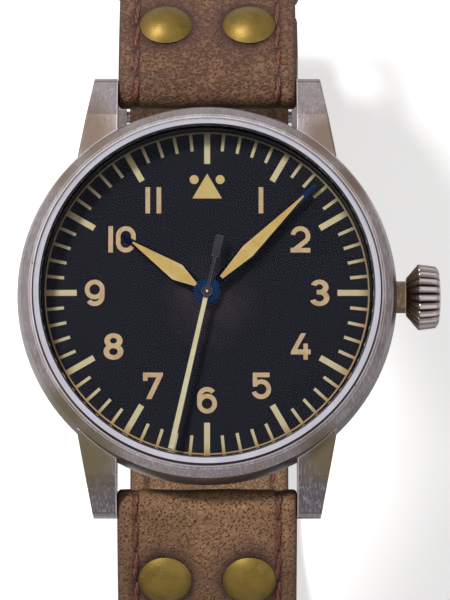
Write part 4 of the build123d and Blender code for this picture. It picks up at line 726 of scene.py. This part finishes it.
def smooth(share):
    share = max(0.0, min(1.0, share))
    return share * share * (3 - 2 * share)


def steps(start, end, step):
    """Evenly spaced values, both ends included."""
    count = max(2, math.ceil(abs(end - start) / step) + 1)
    return [start + (end - start) * index / (count - 1) for index in range(count)]


class Path:
    """The middle line of one strap half in the YZ plane: arcs from its spring bar, then straight on."""

    def __init__(self, *arcs):
        self.runs = []
        y, z, start = bar_distance, bar_height, math.radians(bar_slope)
        total = 0.0
        for radius, end_slope in arcs:
            end = math.radians(end_slope)
            centre = (y - radius * math.sin(start), z - radius * math.cos(start))
            self.runs.append((total, centre, radius, start))
            total += radius * (end - start)
            y = centre[0] + radius * math.sin(end)
            z = centre[1] + radius * math.cos(end)
            start = end
        self.length = total
        self.end = (y, z, start)

    def at(self, length):
        """Place and slope at a length from the bar."""
        if length >= self.length:
            y, z, slope = self.end
            beyond = length - self.length
            return (y + beyond * math.cos(slope), z - beyond * math.sin(slope), slope)
        run = [r for r in self.runs if r[0] <= max(length, 0)][-1]
        slope = run[3] + (length - run[0]) / run[2]
        return (run[1][0] + run[2] * math.sin(slope), run[1][1] + run[2] * math.cos(slope), slope)

    def length_to(self, slope):
        """Length from the bar to a slope given in degrees."""
        wanted = math.radians(slope)
        run = [r for r in self.runs if r[3] <= wanted][-1]
        return run[0] + (wanted - run[3]) * run[2]


upper_path = Path((near_radius, near_slope), (side_radius, side_slope), (upper_radius, upper_slope))
lower_path = Path((near_radius, near_slope), (side_radius, side_slope), (lower_radius, lower_slope),
                  (floor_radius, floor_slope))
rivet_length = upper_path.length_to(rivet_angle)
lower_length = lower_path.length + tail_length


def thinned(distance):
    """Inner face of a layer near a bar, where it parts from the other layer to let the bar through."""
    return layer_gap + (bar_hole - layer_gap) * smooth(1 - distance / skive_length)


def station(path, length, inner, outer=layer, front=True):
    """One place along a layer: where it is, which way is out, and its two faces."""
    y, z, slope = path.at(length)
    way = 1 if front else -1
    return (y, z, way * math.sin(slope), way * math.cos(slope), inner, outer, length, front)


def round_bar(path, length, first, last):
    """The places where a layer turns round a bar, between two turns away from the strap's own slope."""
    y, z, slope = path.at(length)
    angles = [slope + first + (last - first) * step / bar_steps for step in range(1, bar_steps)]
    return [(y, z, math.sin(a), math.cos(a), bar_hole, layer, length, False) for a in angles]


def cross_section(half_width, inner, outer, columns):
    """The outline of a layer across the strap as (side, out, edge share) points, with rounded corners."""
    radius = min(edge_radius, (outer - inner) / 2)
    flat = half_width - radius
    turns = [math.pi * k / (2 * edge_segments) for k in range(edge_segments + 1)]
    top = [(-flat + 2 * flat * c / columns, outer, 0.0) for c in range(columns + 1)]
    middle = outer - radius
    right = [(flat + radius * math.sin(a), middle + radius * math.cos(a), math.sin(a)) for a in turns[1:]]
    right += [(side, outer + inner - out, edge) for side, out, edge in reversed(right)]
    bottom = [(-side, inner, 0.0) for side, _, _ in top]
    left = [(-side, out, edge) for side, out, edge in reversed(right[:-1])]
    return top + right + bottom[1:] + left


def rivet_distance(side, length):
    """Distance along the leather from the middle of the nearer rivet."""
    return min(math.hypot(side - rivet, length - rivet_length) for rivet in (-rivet_side, rivet_side))


def leather_relief(side, length, front):
    """How far the surface is pressed in by rivets and stitches, less how far it stands up between them."""
    seed = front_seed if front else back_seed
    depth = -leather_swell * noise.noise(Vector((side * swell_scale, length * swell_scale, seed)))
    off_row = abs(abs(side) - stitch_side) / groove_width
    if off_row < 1:
        depth += groove_depth * (1 - off_row * off_row)
    if front:
        from_edge = (strap_width / 2 - abs(side)) / edge_fall
        depth -= crown_rise * smooth(from_edge) * smooth(2 - length / crown_until)
        depth += rivet_press * smooth(1 - (rivet_distance(side, length) - rivet_radius) / rivet_dish)
    return depth


def leather_darkening(side, length, front):
    """How much darker the leather is made: round the rivets and near the edges."""
    near = rivet_distance(side, length)
    halo = math.exp(-(max(near - rivet_radius, 0.0) / halo_reach) ** 2) if front else 0.0
    rim = smooth((abs(side) - rim_start) / rim_width)
    return max(halo, 0.5 * rim)


def rivet_shadow_mark(side, length, front):
    """How near the leather is to the rim of a rivet, where it is pressed in and a painted shadow darkens it.
    """
    return smooth(1 - (rivet_distance(side, length) - rivet_radius) / rivet_shade) if front else 0.0


def fold_darkening(length, ny, nz):
    """How far the leather is turned over its bar and away from facing up; there it is darkest."""
    return smooth(1 - length / fold_reach) * smooth((fold_turn - nz) / fold_turn + 0.25)


def layer_mesh(name, stations, turned, half_width_at=None):
    """A layer of leather through its stations, with its relief, and its edges, darkening, fold and painted
    rivet shadow as attributes.
    """
    sign = -1 if turned else 1
    rings = []
    for index, (y, z, ny, nz, inner, outer, length, front) in enumerate(stations):
        cut_end = index in (0, len(stations) - 1)
        ring = []
        half_width = half_width_at(length) if half_width_at else strap_width / 2
        for side, out, edge in cross_section(half_width, inner, outer, strap_columns):
            if out > (inner + outer) / 2:
                out -= leather_relief(side, length, front)
            spot = place(sign * side, sign * (y + ny * out), z + nz * out)
            ring.append((spot, 1.0 if cut_end else edge, leather_darkening(side, length, front),
                         fold_darkening(length, ny, nz), rivet_shadow_mark(side, length, front),
                         length if front else -1.0, side))
        rings.append(ring)
    return skinned_mesh(name, [rings], ("edge", "wear", "fold", "rivet_shadow", "along", "across"))


def join_rings(bm, rings, closed):
    """Skin a row of vertex rings, with end caps unless the row closes on itself."""
    pairs = list(zip(rings, rings[1:]))
    if closed:
        pairs.append((rings[-1], rings[0]))
    else:
        bm.faces.new(rings[0])
        bm.faces.new(list(reversed(rings[-1])))
    for first, second in pairs:
        for index in range(len(first)):
            after = (index + 1) % len(first)
            bm.faces.new((first[index], first[after], second[after], second[index]))


def plain_mesh(bm, name):
    mesh = bpy.data.meshes.new(name)
    bm.to_mesh(mesh)
    bm.free()
    return mesh


def skinned_mesh(name, rows, marks=(), closed=False):
    """Smooth skin over rows of rings. A point is its place, then a value for each mark."""
    bm = bmesh.new()
    made = [bm.verts.layers.float.new(mark) for mark in marks]
    for row in rows:
        rings = []
        for points in row:
            ring = []
            for spot, *values in points:
                vert = bm.verts.new(spot)
                for mark, value in zip(made, values):
                    vert[mark] = value
                ring.append(vert)
            rings.append(ring)
        join_rings(bm, rings, closed)
    bmesh.ops.recalc_face_normals(bm, faces=bm.faces)
    for face in bm.faces:
        face.smooth = True
    return plain_mesh(bm, name)


def new_piece(mesh, body, slot_name, skin, *replaced):
    """Link a mesh as a piece that rides on a body and stands for CAD nodes."""
    mesh.materials.append(skin.material)
    thing = put(mesh.name, mesh)
    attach(thing, body)
    if replaced:
        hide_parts(*replaced)


def cut_mesh(mesh, cutter):
    """The mesh with the cutter's closed shapes taken out of it."""
    body = put("cut body", mesh)
    tool = put("cut tool", cutter)
    modifier = body.modifiers.new("cut", "BOOLEAN")
    modifier.operation = "DIFFERENCE"
    modifier.solver = "EXACT"
    modifier.object = tool
    bpy.context.view_layer.update()
    shaped = bpy.data.meshes.new_from_object(body.evaluated_get(bpy.context.evaluated_depsgraph_get()))
    name = mesh.name
    bpy.data.objects.remove(body)
    bpy.data.objects.remove(tool)
    mesh.name = "uncut"
    shaped.name = name
    return shaped


def hole_tools():
    """Round bars where the lower half's adjusting holes go."""
    bm = bmesh.new()
    for hole in range(hole_count):
        y, z, slope = lower_path.at(lower_length - hole_tip_distance - hole * hole_pitch)
        spot = Matrix.Translation(place(0, -y, z)) @ Matrix.Rotation(slope, 4, "X")
        bmesh.ops.create_cone(bm, cap_ends=True, segments=hole_segments, radius1=hole_radius * mm,
                              radius2=hole_radius * mm, depth=4 * layer * mm, matrix=spot)
    return plain_mesh(bm, "holes")


def slot_tool():
    """The slot at the upper half's end that lets the buckle's tongue through."""
    bm = bmesh.new()
    y, z, slope = upper_path.at(upper_path.length)
    length = slot_length + 2 * layer
    spot = Matrix.Translation(place(0, y, z)) @ Matrix.Rotation(-slope, 4, "X")
    spot = spot @ Matrix.Translation(place(0, length / 2 - slot_length, 0))
    size = Matrix.Diagonal(Vector((2 * slot_half, length, 6 * layer)) * mm).to_4x4()
    bmesh.ops.create_cube(bm, size=1.0, matrix=spot @ size)
    return plain_mesh(bm, "slot")


def tail_half_width(length):
    """Half the lower strap's width, rounded off towards its tip."""
    left = max(lower_length - length, 0.0)
    if left >= tail_corner:
        return strap_width / 2
    return strap_width / 2 - tail_corner + math.sqrt(tail_corner ** 2 - (tail_corner - left) ** 2)


def tail_lengths(start):
    """Places along the lower half, closer together where the tip is rounded."""
    turns = [math.pi / 2 * k / tail_steps for k in range(1, tail_steps + 1)]
    return steps(start, lower_length - tail_corner, station_step) + [
        lower_length - tail_corner + tail_corner * math.sin(turn) for turn in turns]


def folded_start(path):
    """The end of a strip that is folded back under the strap and goes round its spring bar."""
    lengths = steps(path.length_to(fold_slope), 0, station_step)
    back = [station(path, s, thinned(s), front=False) for s in lengths]
    return back + round_bar(path, 0, -math.pi, 0)


def upper_leather():
    """One strip, doubled round the spring bar at one end and round the buckle's bar at the other."""
    end = upper_path.length
    stations = folded_start(upper_path)
    stations += [station(upper_path, s, thinned(min(s, end - s))) for s in steps(0, end, station_step)]
    stations += round_bar(upper_path, end, 0, math.pi)
    folded = steps(end, upper_path.length_to(buckle_fold_slope), station_step)
    stations += [station(upper_path, s, thinned(end - s), front=False) for s in folded]
    return cut_mesh(layer_mesh("upper_leather", stations, False), slot_tool())


def lower_leather():
    """One strip, doubled round the spring bar, with a rounded tip and a row of adjusting holes."""
    stations = folded_start(lower_path)
    stations += [station(lower_path, s, thinned(s)) for s in tail_lengths(0)]
    return cut_mesh(layer_mesh("lower_leather", stations, True, tail_half_width), hole_tools())


def linings():
    """The leather on the wrist side of each half."""
    start = upper_path.length_to(fold_slope) + seam_gap
    end = upper_path.length_to(buckle_fold_slope) - seam_gap
    stations = [station(upper_path, s, layer_gap, front=False) for s in steps(start, end, station_step)]
    upper = layer_mesh("upper_lining", stations, False)
    stations = [station(lower_path, s, layer_gap, front=False) for s in tail_lengths(start)]
    lower = cut_mesh(layer_mesh("lower_lining", stations, True, tail_half_width), hole_tools())
    return upper, lower


def turned_path(path, length):
    """Place and slope along the outside of a strap half, also round its bar, before length 0."""
    y, z, slope = path.at(max(length, 0.0))
    return y, z, slope + min(length, 0.0) / layer


def stitch_mesh(name, path, start, end, front, turned):
    """Two rows of slanted stitches, each of two twisted strands that dip into their holes."""
    sign = -1 if turned else 1
    way = 1 if front else -1
    strands = []
    for row in (-1, 1):
        for number in range(int((end - start) / stitch_pitch)):
            first = start + number * stitch_pitch
            for strand in (0, math.pi):
                rings = []
                for point in range(strand_points):
                    share = point / (strand_points - 1)
                    length = first + share * stitch_length
                    y, z, slope = turned_path(path, length)
                    twist = strand + 2 * math.pi * strand_turns * share
                    arch = math.sin(math.pi * share) ** stitch_fullness
                    side = row * stitch_side + stitch_lean * (2 * share - 1)
                    side += strand_offset * math.cos(twist) * arch
                    rise = -leather_relief(row * stitch_side, length, front)
                    out = layer + rise + (stitch_lift + stitch_sink) * arch - stitch_sink
                    out += strand_offset * strand_depth_share * math.sin(twist) * arch
                    ring = []
                    for corner in range(strand_sides):
                        angle = 2 * math.pi * corner / strand_sides
                        x = sign * (side + strand_radius * math.cos(angle))
                        reach = way * (out + strand_radius * math.sin(angle))
                        spot = place(x, sign * (y + math.sin(slope) * reach), z + math.cos(slope) * reach)
                        ring.append([spot])
                    rings.append(ring)
                strands.append(rings)
    return skinned_mesh(name, strands)


def keeper_mesh(name, middle):
    """A leather loop with rounded corners round the upper half."""
    (y, z), radius = upper_path.runs[-1][1:3]
    half = math.radians(keeper_width_angle) / 2 * radius
    wide = strap_width / 2 + keeper_side_gap - keeper_corner
    low = -layer - keeper_face_gap + keeper_corner
    high = layer + keeper_tail_room - keeper_corner
    spots = []
    corners = [(wide, high, 0), (wide, low, 90), (-wide, low, 180), (-wide, high, 270)]
    for (u, t, turn), (u2, t2, _) in zip(corners, corners[1:] + corners[:1]):
        for step in range(keeper_corner_steps + 1):
            angle = math.radians(turn + 90 * step / keeper_corner_steps)
            spots.append((u, t, math.sin(angle), math.cos(angle)))
        angle = math.radians(turn + 90)
        for step in range(1, keeper_side_steps):
            share = step / keeper_side_steps
            spots.append((u + (u2 - u) * share, t + (t2 - t) * share, math.sin(angle), math.cos(angle)))
    rings = []
    for u, t, du, dt in spots:
        ring = []
        for along, out, edge in cross_section(half, 0, keeper_wall, keeper_columns):
            reach = keeper_corner + out
            slope = math.radians(middle) + along / radius
            out_at = radius + t + dt * reach
            spot = place(u + du * reach, y + out_at * math.sin(slope), z + out_at * math.cos(slope))
            ring.append((spot, edge, 0.6 * smooth((abs(along) / half - 0.7) / 0.3)))
        rings.append(ring)
    return skinned_mesh(name, [rings], ("edge", "wear"), True)


def leather_material(name, tones, grain=1.0, slant=1.0, dots=0.5, worm_share=0.75):
    """Oiled leather: dense short dark pores, cloudy colour, olive folds, dark edges, darker round the
    rivets, and painted shade at the rivets' rims, in the stitch holes and along the stitch rows.
    """
    light, middle, dark, pore, edge_tone = tones
    s = Shader(name, 0.6)
    wobble = s.noise(1.1)
    sockets = {0: wobble, 1: (pore_wobble,) * 3, 2: s.stretched(slant)}
    bent = s.add("ShaderNodeVectorMath", sockets, operation="MULTIPLY_ADD").outputs["Vector"]
    pores = s.cells(pore_scale * grain, bent)
    creases = s.cells(crease_scale * grain, bent, "DISTANCE_TO_EDGE")
    clouds = s.noise(0.13, 4.0, rough=0.55, distortion=0.5)
    mottle = s.noise(0.5, 4.0, s.stretched(shift=17.0), 0.6)
    fine = s.noise(6.5, 4.0, s.stretched(shift=5.0), 0.75)
    tone = s.mix(middle, light, s.band(clouds, 0.35, 0.68))
    tone = s.mix(tone, dark, s.band(mottle, 0.46, 0.75), 0.55)
    worms = s.band(s.noise(worm_scale * grain, 2.0, bent, 0.6, 0.6), 0.5, 0.6)
    deep = s.either(s.rest(s.band(pores, 0.22, dots)), s.both(worms, worm_share))
    tone = s.mix(tone, light, s.band(fine, 0.48, 0.72), 0.5)
    tone = s.mix(tone, pore, s.rest(s.band(creases, 0.0, 0.12)), 0.3)
    tone = s.mix(tone, pore, deep, 0.9)
    darkened = s.math("MULTIPLY", s.attribute("wear"), s.math("ADD", s.both(mottle, 0.9), 0.45), True)
    tone = s.mix(tone, edge_tone, darkened, 0.75)
    tone = s.mix(tone, fold_tone, s.attribute("fold"), s.math("ADD", s.both(mottle, 0.8), 0.5))
    tone = s.mix(tone, edge_tone, s.band(s.attribute("edge"), 0.35, 0.8))
    # Painted shadow round the rim of each rivet
    tone = s.mix(tone, hollow_shade, s.attribute("rivet_shadow"), 0.75)
    # Painted shade in the stitch holes and along each row of stitches
    before = whole_stitches * stitch_pitch - stitch_start + hole_lead
    along = s.math("MODULO", s.math("ADD", s.attribute("along"), before), stitch_pitch)
    off_row = s.math("ABSOLUTE", s.math("SUBTRACT", s.math("ABSOLUTE", s.attribute("across")), stitch_side))
    hole = s.both(s.rest(s.band(along, 0.25, 0.5)), s.rest(s.band(off_row, 0.15, 0.4)))
    shade = s.both(s.rest(s.band(off_row, 0.25, 0.6)), 0.45)
    tone = s.mix(tone, hollow_shade, s.either(s.both(hole, 0.9), shade))
    s.colour(tone)
    s.roughen(0.45, (fine, 0.3))
    s.set("Specular IOR Level", 0.3)
    s.bump(s.rest(deep), 0.09)
    s.bump(s.band(creases, 0.0, 0.2), 0.03)
    s.bump(fine, 0.04)
    return s


def thread_material():
    """Waxed reddish-brown linen thread."""
    s = Shader("thread", 0.55)
    fibre = s.noise(6.0, 3.0, s.stretched(1.0, 0.5, 0.5), 0.6)
    s.colour(s.mix(thread_dark, thread_tone, s.band(fibre, 0.35, 0.7)))
    s.bump(fibre, 0.03)
    return s


def add_strap():
    """Both strap halves with their linings and stitches, and the two keepers."""
    upper_skin = leather_material("leather_upper", upper_tones, slant=0.7)
    lower_skin = leather_material("leather_lower", lower_tones, dots=0.42, worm_share=0.3)
    lining_skin = leather_material("lining", lining_tones, grain=1.6)
    keeper_skin = leather_material("leather_keeper", upper_tones, grain=1.2)
    thread = thread_material()
    new_piece(upper_leather(), "strap_upper", "leather", upper_skin, "strap_upper_leather")
    new_piece(lower_leather(), "strap_lower", "leather", lower_skin, "strap_lower_leather")
    upper_lining, lower_lining = linings()
    new_piece(upper_lining, "strap_upper", "lining", lining_skin, "strap_upper_lining")
    new_piece(lower_lining, "strap_lower", "lining", lining_skin, "strap_lower_lining")
    fixed = keeper_mesh("fixed_keeper", fixed_keeper_angle)
    new_piece(fixed, "strap_upper", "leather", keeper_skin, "keeper_fixed")
    free = keeper_mesh("free_keeper", free_keeper_angle)
    new_piece(free, "keeper", "leather", keeper_skin, "keeper_free")
    upper_end = upper_path.length - slot_length
    lower_end = lower_length - tail_corner
    for front, side_name in ((True, "outside"), (False, "inside")):
        mesh = stitch_mesh(f"upper_stitches_{side_name}", upper_path, stitch_start, upper_end, front, False)
        new_piece(mesh, "strap_upper", "leather", thread)
        mesh = stitch_mesh(f"lower_stitches_{side_name}", lower_path, stitch_start, lower_end, front, True)
        new_piece(mesh, "strap_lower", "leather", thread)


def dress(skin, *names):
    """Give CAD nodes their finished material."""
    for name in names:
        slots = nodes[name].data.materials
        slots.clear()
        slots.append(skin.material)


def turned_mesh(name, profile, segments, ridges=0):
    """A solid turned about Z through (height, radius, groove depth) points, its ridges marked."""
    rings = []
    for height, radius, groove in profile:
        ring = []
        for step in range(segments):
            angle = 2 * math.pi * step / segments
            ridge = abs(math.sin(ridges / 2 * angle)) ** ridge_power if ridges else 1.0
            reach = radius - groove * (1 - ridge)
            spot = place(reach * math.cos(angle), reach * math.sin(angle), height)
            ring.append((spot, ridge if groove else 1.0))
        rings.append(ring)
    mesh = skinned_mesh(name, [rings], ["ridge"])
    mesh.set_sharp_from_angle(angle=math.radians(sharp_angle))
    return mesh


# The crystal and the crown, in millimetres, with their counts and angles
sharp_angle = 35.0
ridge_power = 0.6
crystal_radius = 18.46
crystal_lip_radius = 18.66
crystal_lip_bottom = 10.8
crystal_bottom = 9.65
crystal_edge_height = 11.03
crystal_dome = 0.47
crystal_chamfer = 0.18
crystal_chamfer_drop = 0.15
crystal_segments = 180
crystal_rings = 10
crown_start = 22.35
crown_ridges = 22
crown_steps = 12
crown_profile = ((-2.6, 1.35, 0.0), (0.0, 1.35, 0.0), (0.0, 2.0, 0.0), (0.06, 2.2, 0.18),
                 (0.5, 2.68, 0.28), (1.0, 3.28, 0.4),
                 (1.32, 3.66, 0.46), (1.45, 3.74, 0.46), (1.65, 3.72, 0.44), (2.6, 3.61, 0.42),
                 (3.3, 3.5, 0.4), (3.48, 3.3, 0.3), (3.62, 3.08, 0.16), (3.7, 2.9, 0.0), (3.8, 2.2, 0.0),
                 (3.9, 1.1, 0.0), (3.95, 0.02, 0.0))


def crystal_mesh():
    """The domed crystal, whose bevelled lip covers the top of the gasket."""
    sphere = (crystal_lip_radius ** 2 + crystal_dome ** 2) / (2 * crystal_dome)
    inner = crystal_lip_radius - crystal_chamfer
    profile = [(crystal_bottom, crystal_radius, 0.0), (crystal_lip_bottom, crystal_radius, 0.0),
               (crystal_lip_bottom, crystal_lip_radius, 0.0),
               (crystal_edge_height - crystal_chamfer_drop, crystal_lip_radius, 0.0)]
    for step in range(crystal_rings):
        radius = inner * (1 - step / crystal_rings)
        height = crystal_edge_height + crystal_dome - sphere + math.sqrt(sphere ** 2 - radius ** 2)
        profile.append((height, radius, 0.0))
    return turned_mesh("crystal_glass", profile, crystal_segments)


def crown_mesh():
    """The crown with its ridges running from the cone to the end face, and the pipe that enters the tube."""
    mesh = turned_mesh("crown_grip", crown_profile, crown_ridges * crown_steps, crown_ridges)
    turn = Matrix.Rotation(math.radians(90), 4, "Y")
    mesh.transform(Matrix.Translation(place(crown_start, 0.0, crown_axis_height)) @ turn)
    return mesh


def dress_case():
    dress(case_material(), "mid_case")
    dress(bezel_material(), "bezel")
    dress(steel_material("back_steel", steel, steel_dark), "case_back", "movement_ring")
    dress(steel_material("tube_steel", patina_brown, patina, 0.34, 0.9), "crown_tube")
    dress(rubber_material("gasket", rubber_tone, rubber_dust), "case_back_gasket", "crown_gasket")
    dress(rubber_material("crystal_gasket", seal_tone, seal_dust), "crystal_gasket")
    dress(polished_material("bar_steel", steel, steel_dark, 0.22), "spring_bar_upper", "spring_bar_lower")
    new_piece(crystal_mesh(), "case", "crystal", crystal_material(), "crystal")
    new_piece(crown_mesh(), "crown_and_stem", "case_steel", crown_material(), "crown")


def dress_dial():
    dress(dial_material(), "dial")
    dress(print_material("dial_print", print_tone, print_dark), "dial_numerals")
    dress(marker_material(), "hour_markers", "minute_track")
    dress(lume_material(hour_hand_angle, hour_lume_half), "hour_hand_lume")
    dress(lume_material(minute_hand_angle, minute_lume_half), "minute_hand_lume")
    dress(print_material("lume_pale", pale_tone, print_tone, 4.0), "seconds_hand_lume")
    dress(blued_material(), "hour_hand", "minute_hand")
    dress(seconds_material(), "seconds_hand")


def dress_movement():
    nickel = gilt_material("movement_nickel", nickel_tone, nickel_dark)
    dress(nickel, "main_plate", "barrel_bridge", "train_bridge", "pallet_bridge", "balance_cock")
    brass = gilt_material("brass", gilt_tone, gilt_dark)
    dress(brass, "barrel_drum", "centre_wheel", "third_wheel", "minute_wheel", "hour_wheel", "balance_wheel")
    dress(arbor_material(), "fourth_wheel")
    dark = gilt_material("movement_steel", wheel_steel, wheel_steel_dark, 0.24)
    dress(dark, "winding_stem", "clutch_wheel", "winding_pinion", "crown_wheel", "ratchet_wheel", "click",
          "barrel_arbor", "mainspring", "escape_wheel", "pallet_fork", "bridge_screws")
    dress(gilt_material("cannon_steel", arbor_grey, blued_dark, 0.3), "cannon_pinion")
    dress(polished_material("hairspring_steel", blued_light, blued_dark), "hairspring")
    dress(jewel_material(), "jewels", "pallet_stones")


def dress_buckle():
    buckle = steel_material("buckle_steel", buckle_tone, buckle_dark, 0.3, 0.6)
    dress(buckle, "buckle_frame", "buckle_tongue", "buckle_bar")
    rivet_skin = brass_material("rivet_brass", brass_tone, brass_dark, brass_light, 0.48)
    dress(rivet_skin, "rivets_upper", "rivets_lower")


def floor_material():
    """Plain white table top; what the camera sees of it is near white, and it keeps the shadow."""
    s = Shader("floor_white", 0.9)
    s.colour(floor_tone)
    s.set("Specular IOR Level", 0.1)
    seen = s.add("ShaderNodeLightPath").outputs["Is Camera Ray"]
    glow = s.add("ShaderNodeEmission", {"Color": white, "Strength": s.both(seen, floor_glow)})
    lit = s.add("ShaderNodeAddShader", {0: s.surface.outputs["BSDF"], 1: glow.outputs["Emission"]})
    s.show(lit.outputs["Shader"])
    return s


def add_floor():
    low = min(corner[2] for corner in cad_bounds)
    mesh = bpy.data.meshes.new("floor")
    half = floor_half * mm
    corners = [(-half, -half, low), (half, -half, low), (half, half, low), (-half, half, low)]
    mesh.from_pydata(corners, [], [(0, 1, 2, 3)])
    mesh.materials.append(floor_material().material)
    floor = put("floor", mesh)


def add_world():
    """Even light from all round; the camera, mirrors and glass see it as white."""
    scene.world = bpy.data.worlds.new("studio")
    scene.world.use_nodes = True
    sky = Nodes(scene.world.node_tree)
    rays = sky.add("ShaderNodeLightPath").outputs
    seen = sky.either(rays["Is Camera Ray"], rays["Is Glossy Ray"], rays["Is Transmission Ray"])
    strength = sky.add("ShaderNodeMapRange", {"Value": seen, "To Min": world_light, "To Max": 1.0})
    back = sky.tree.nodes["Background"]
    sky.feed(back.inputs["Strength"], strength.outputs["Result"])
    sky.feed(back.inputs["Color"], white)


scene.view_settings.view_transform = "Standard"
add_camera()
for lamp in lamps:
    add_lamp(*lamp)
add_world()
add_floor()
dress_case()
dress_dial()
dress_movement()
dress_buckle()
add_strap()
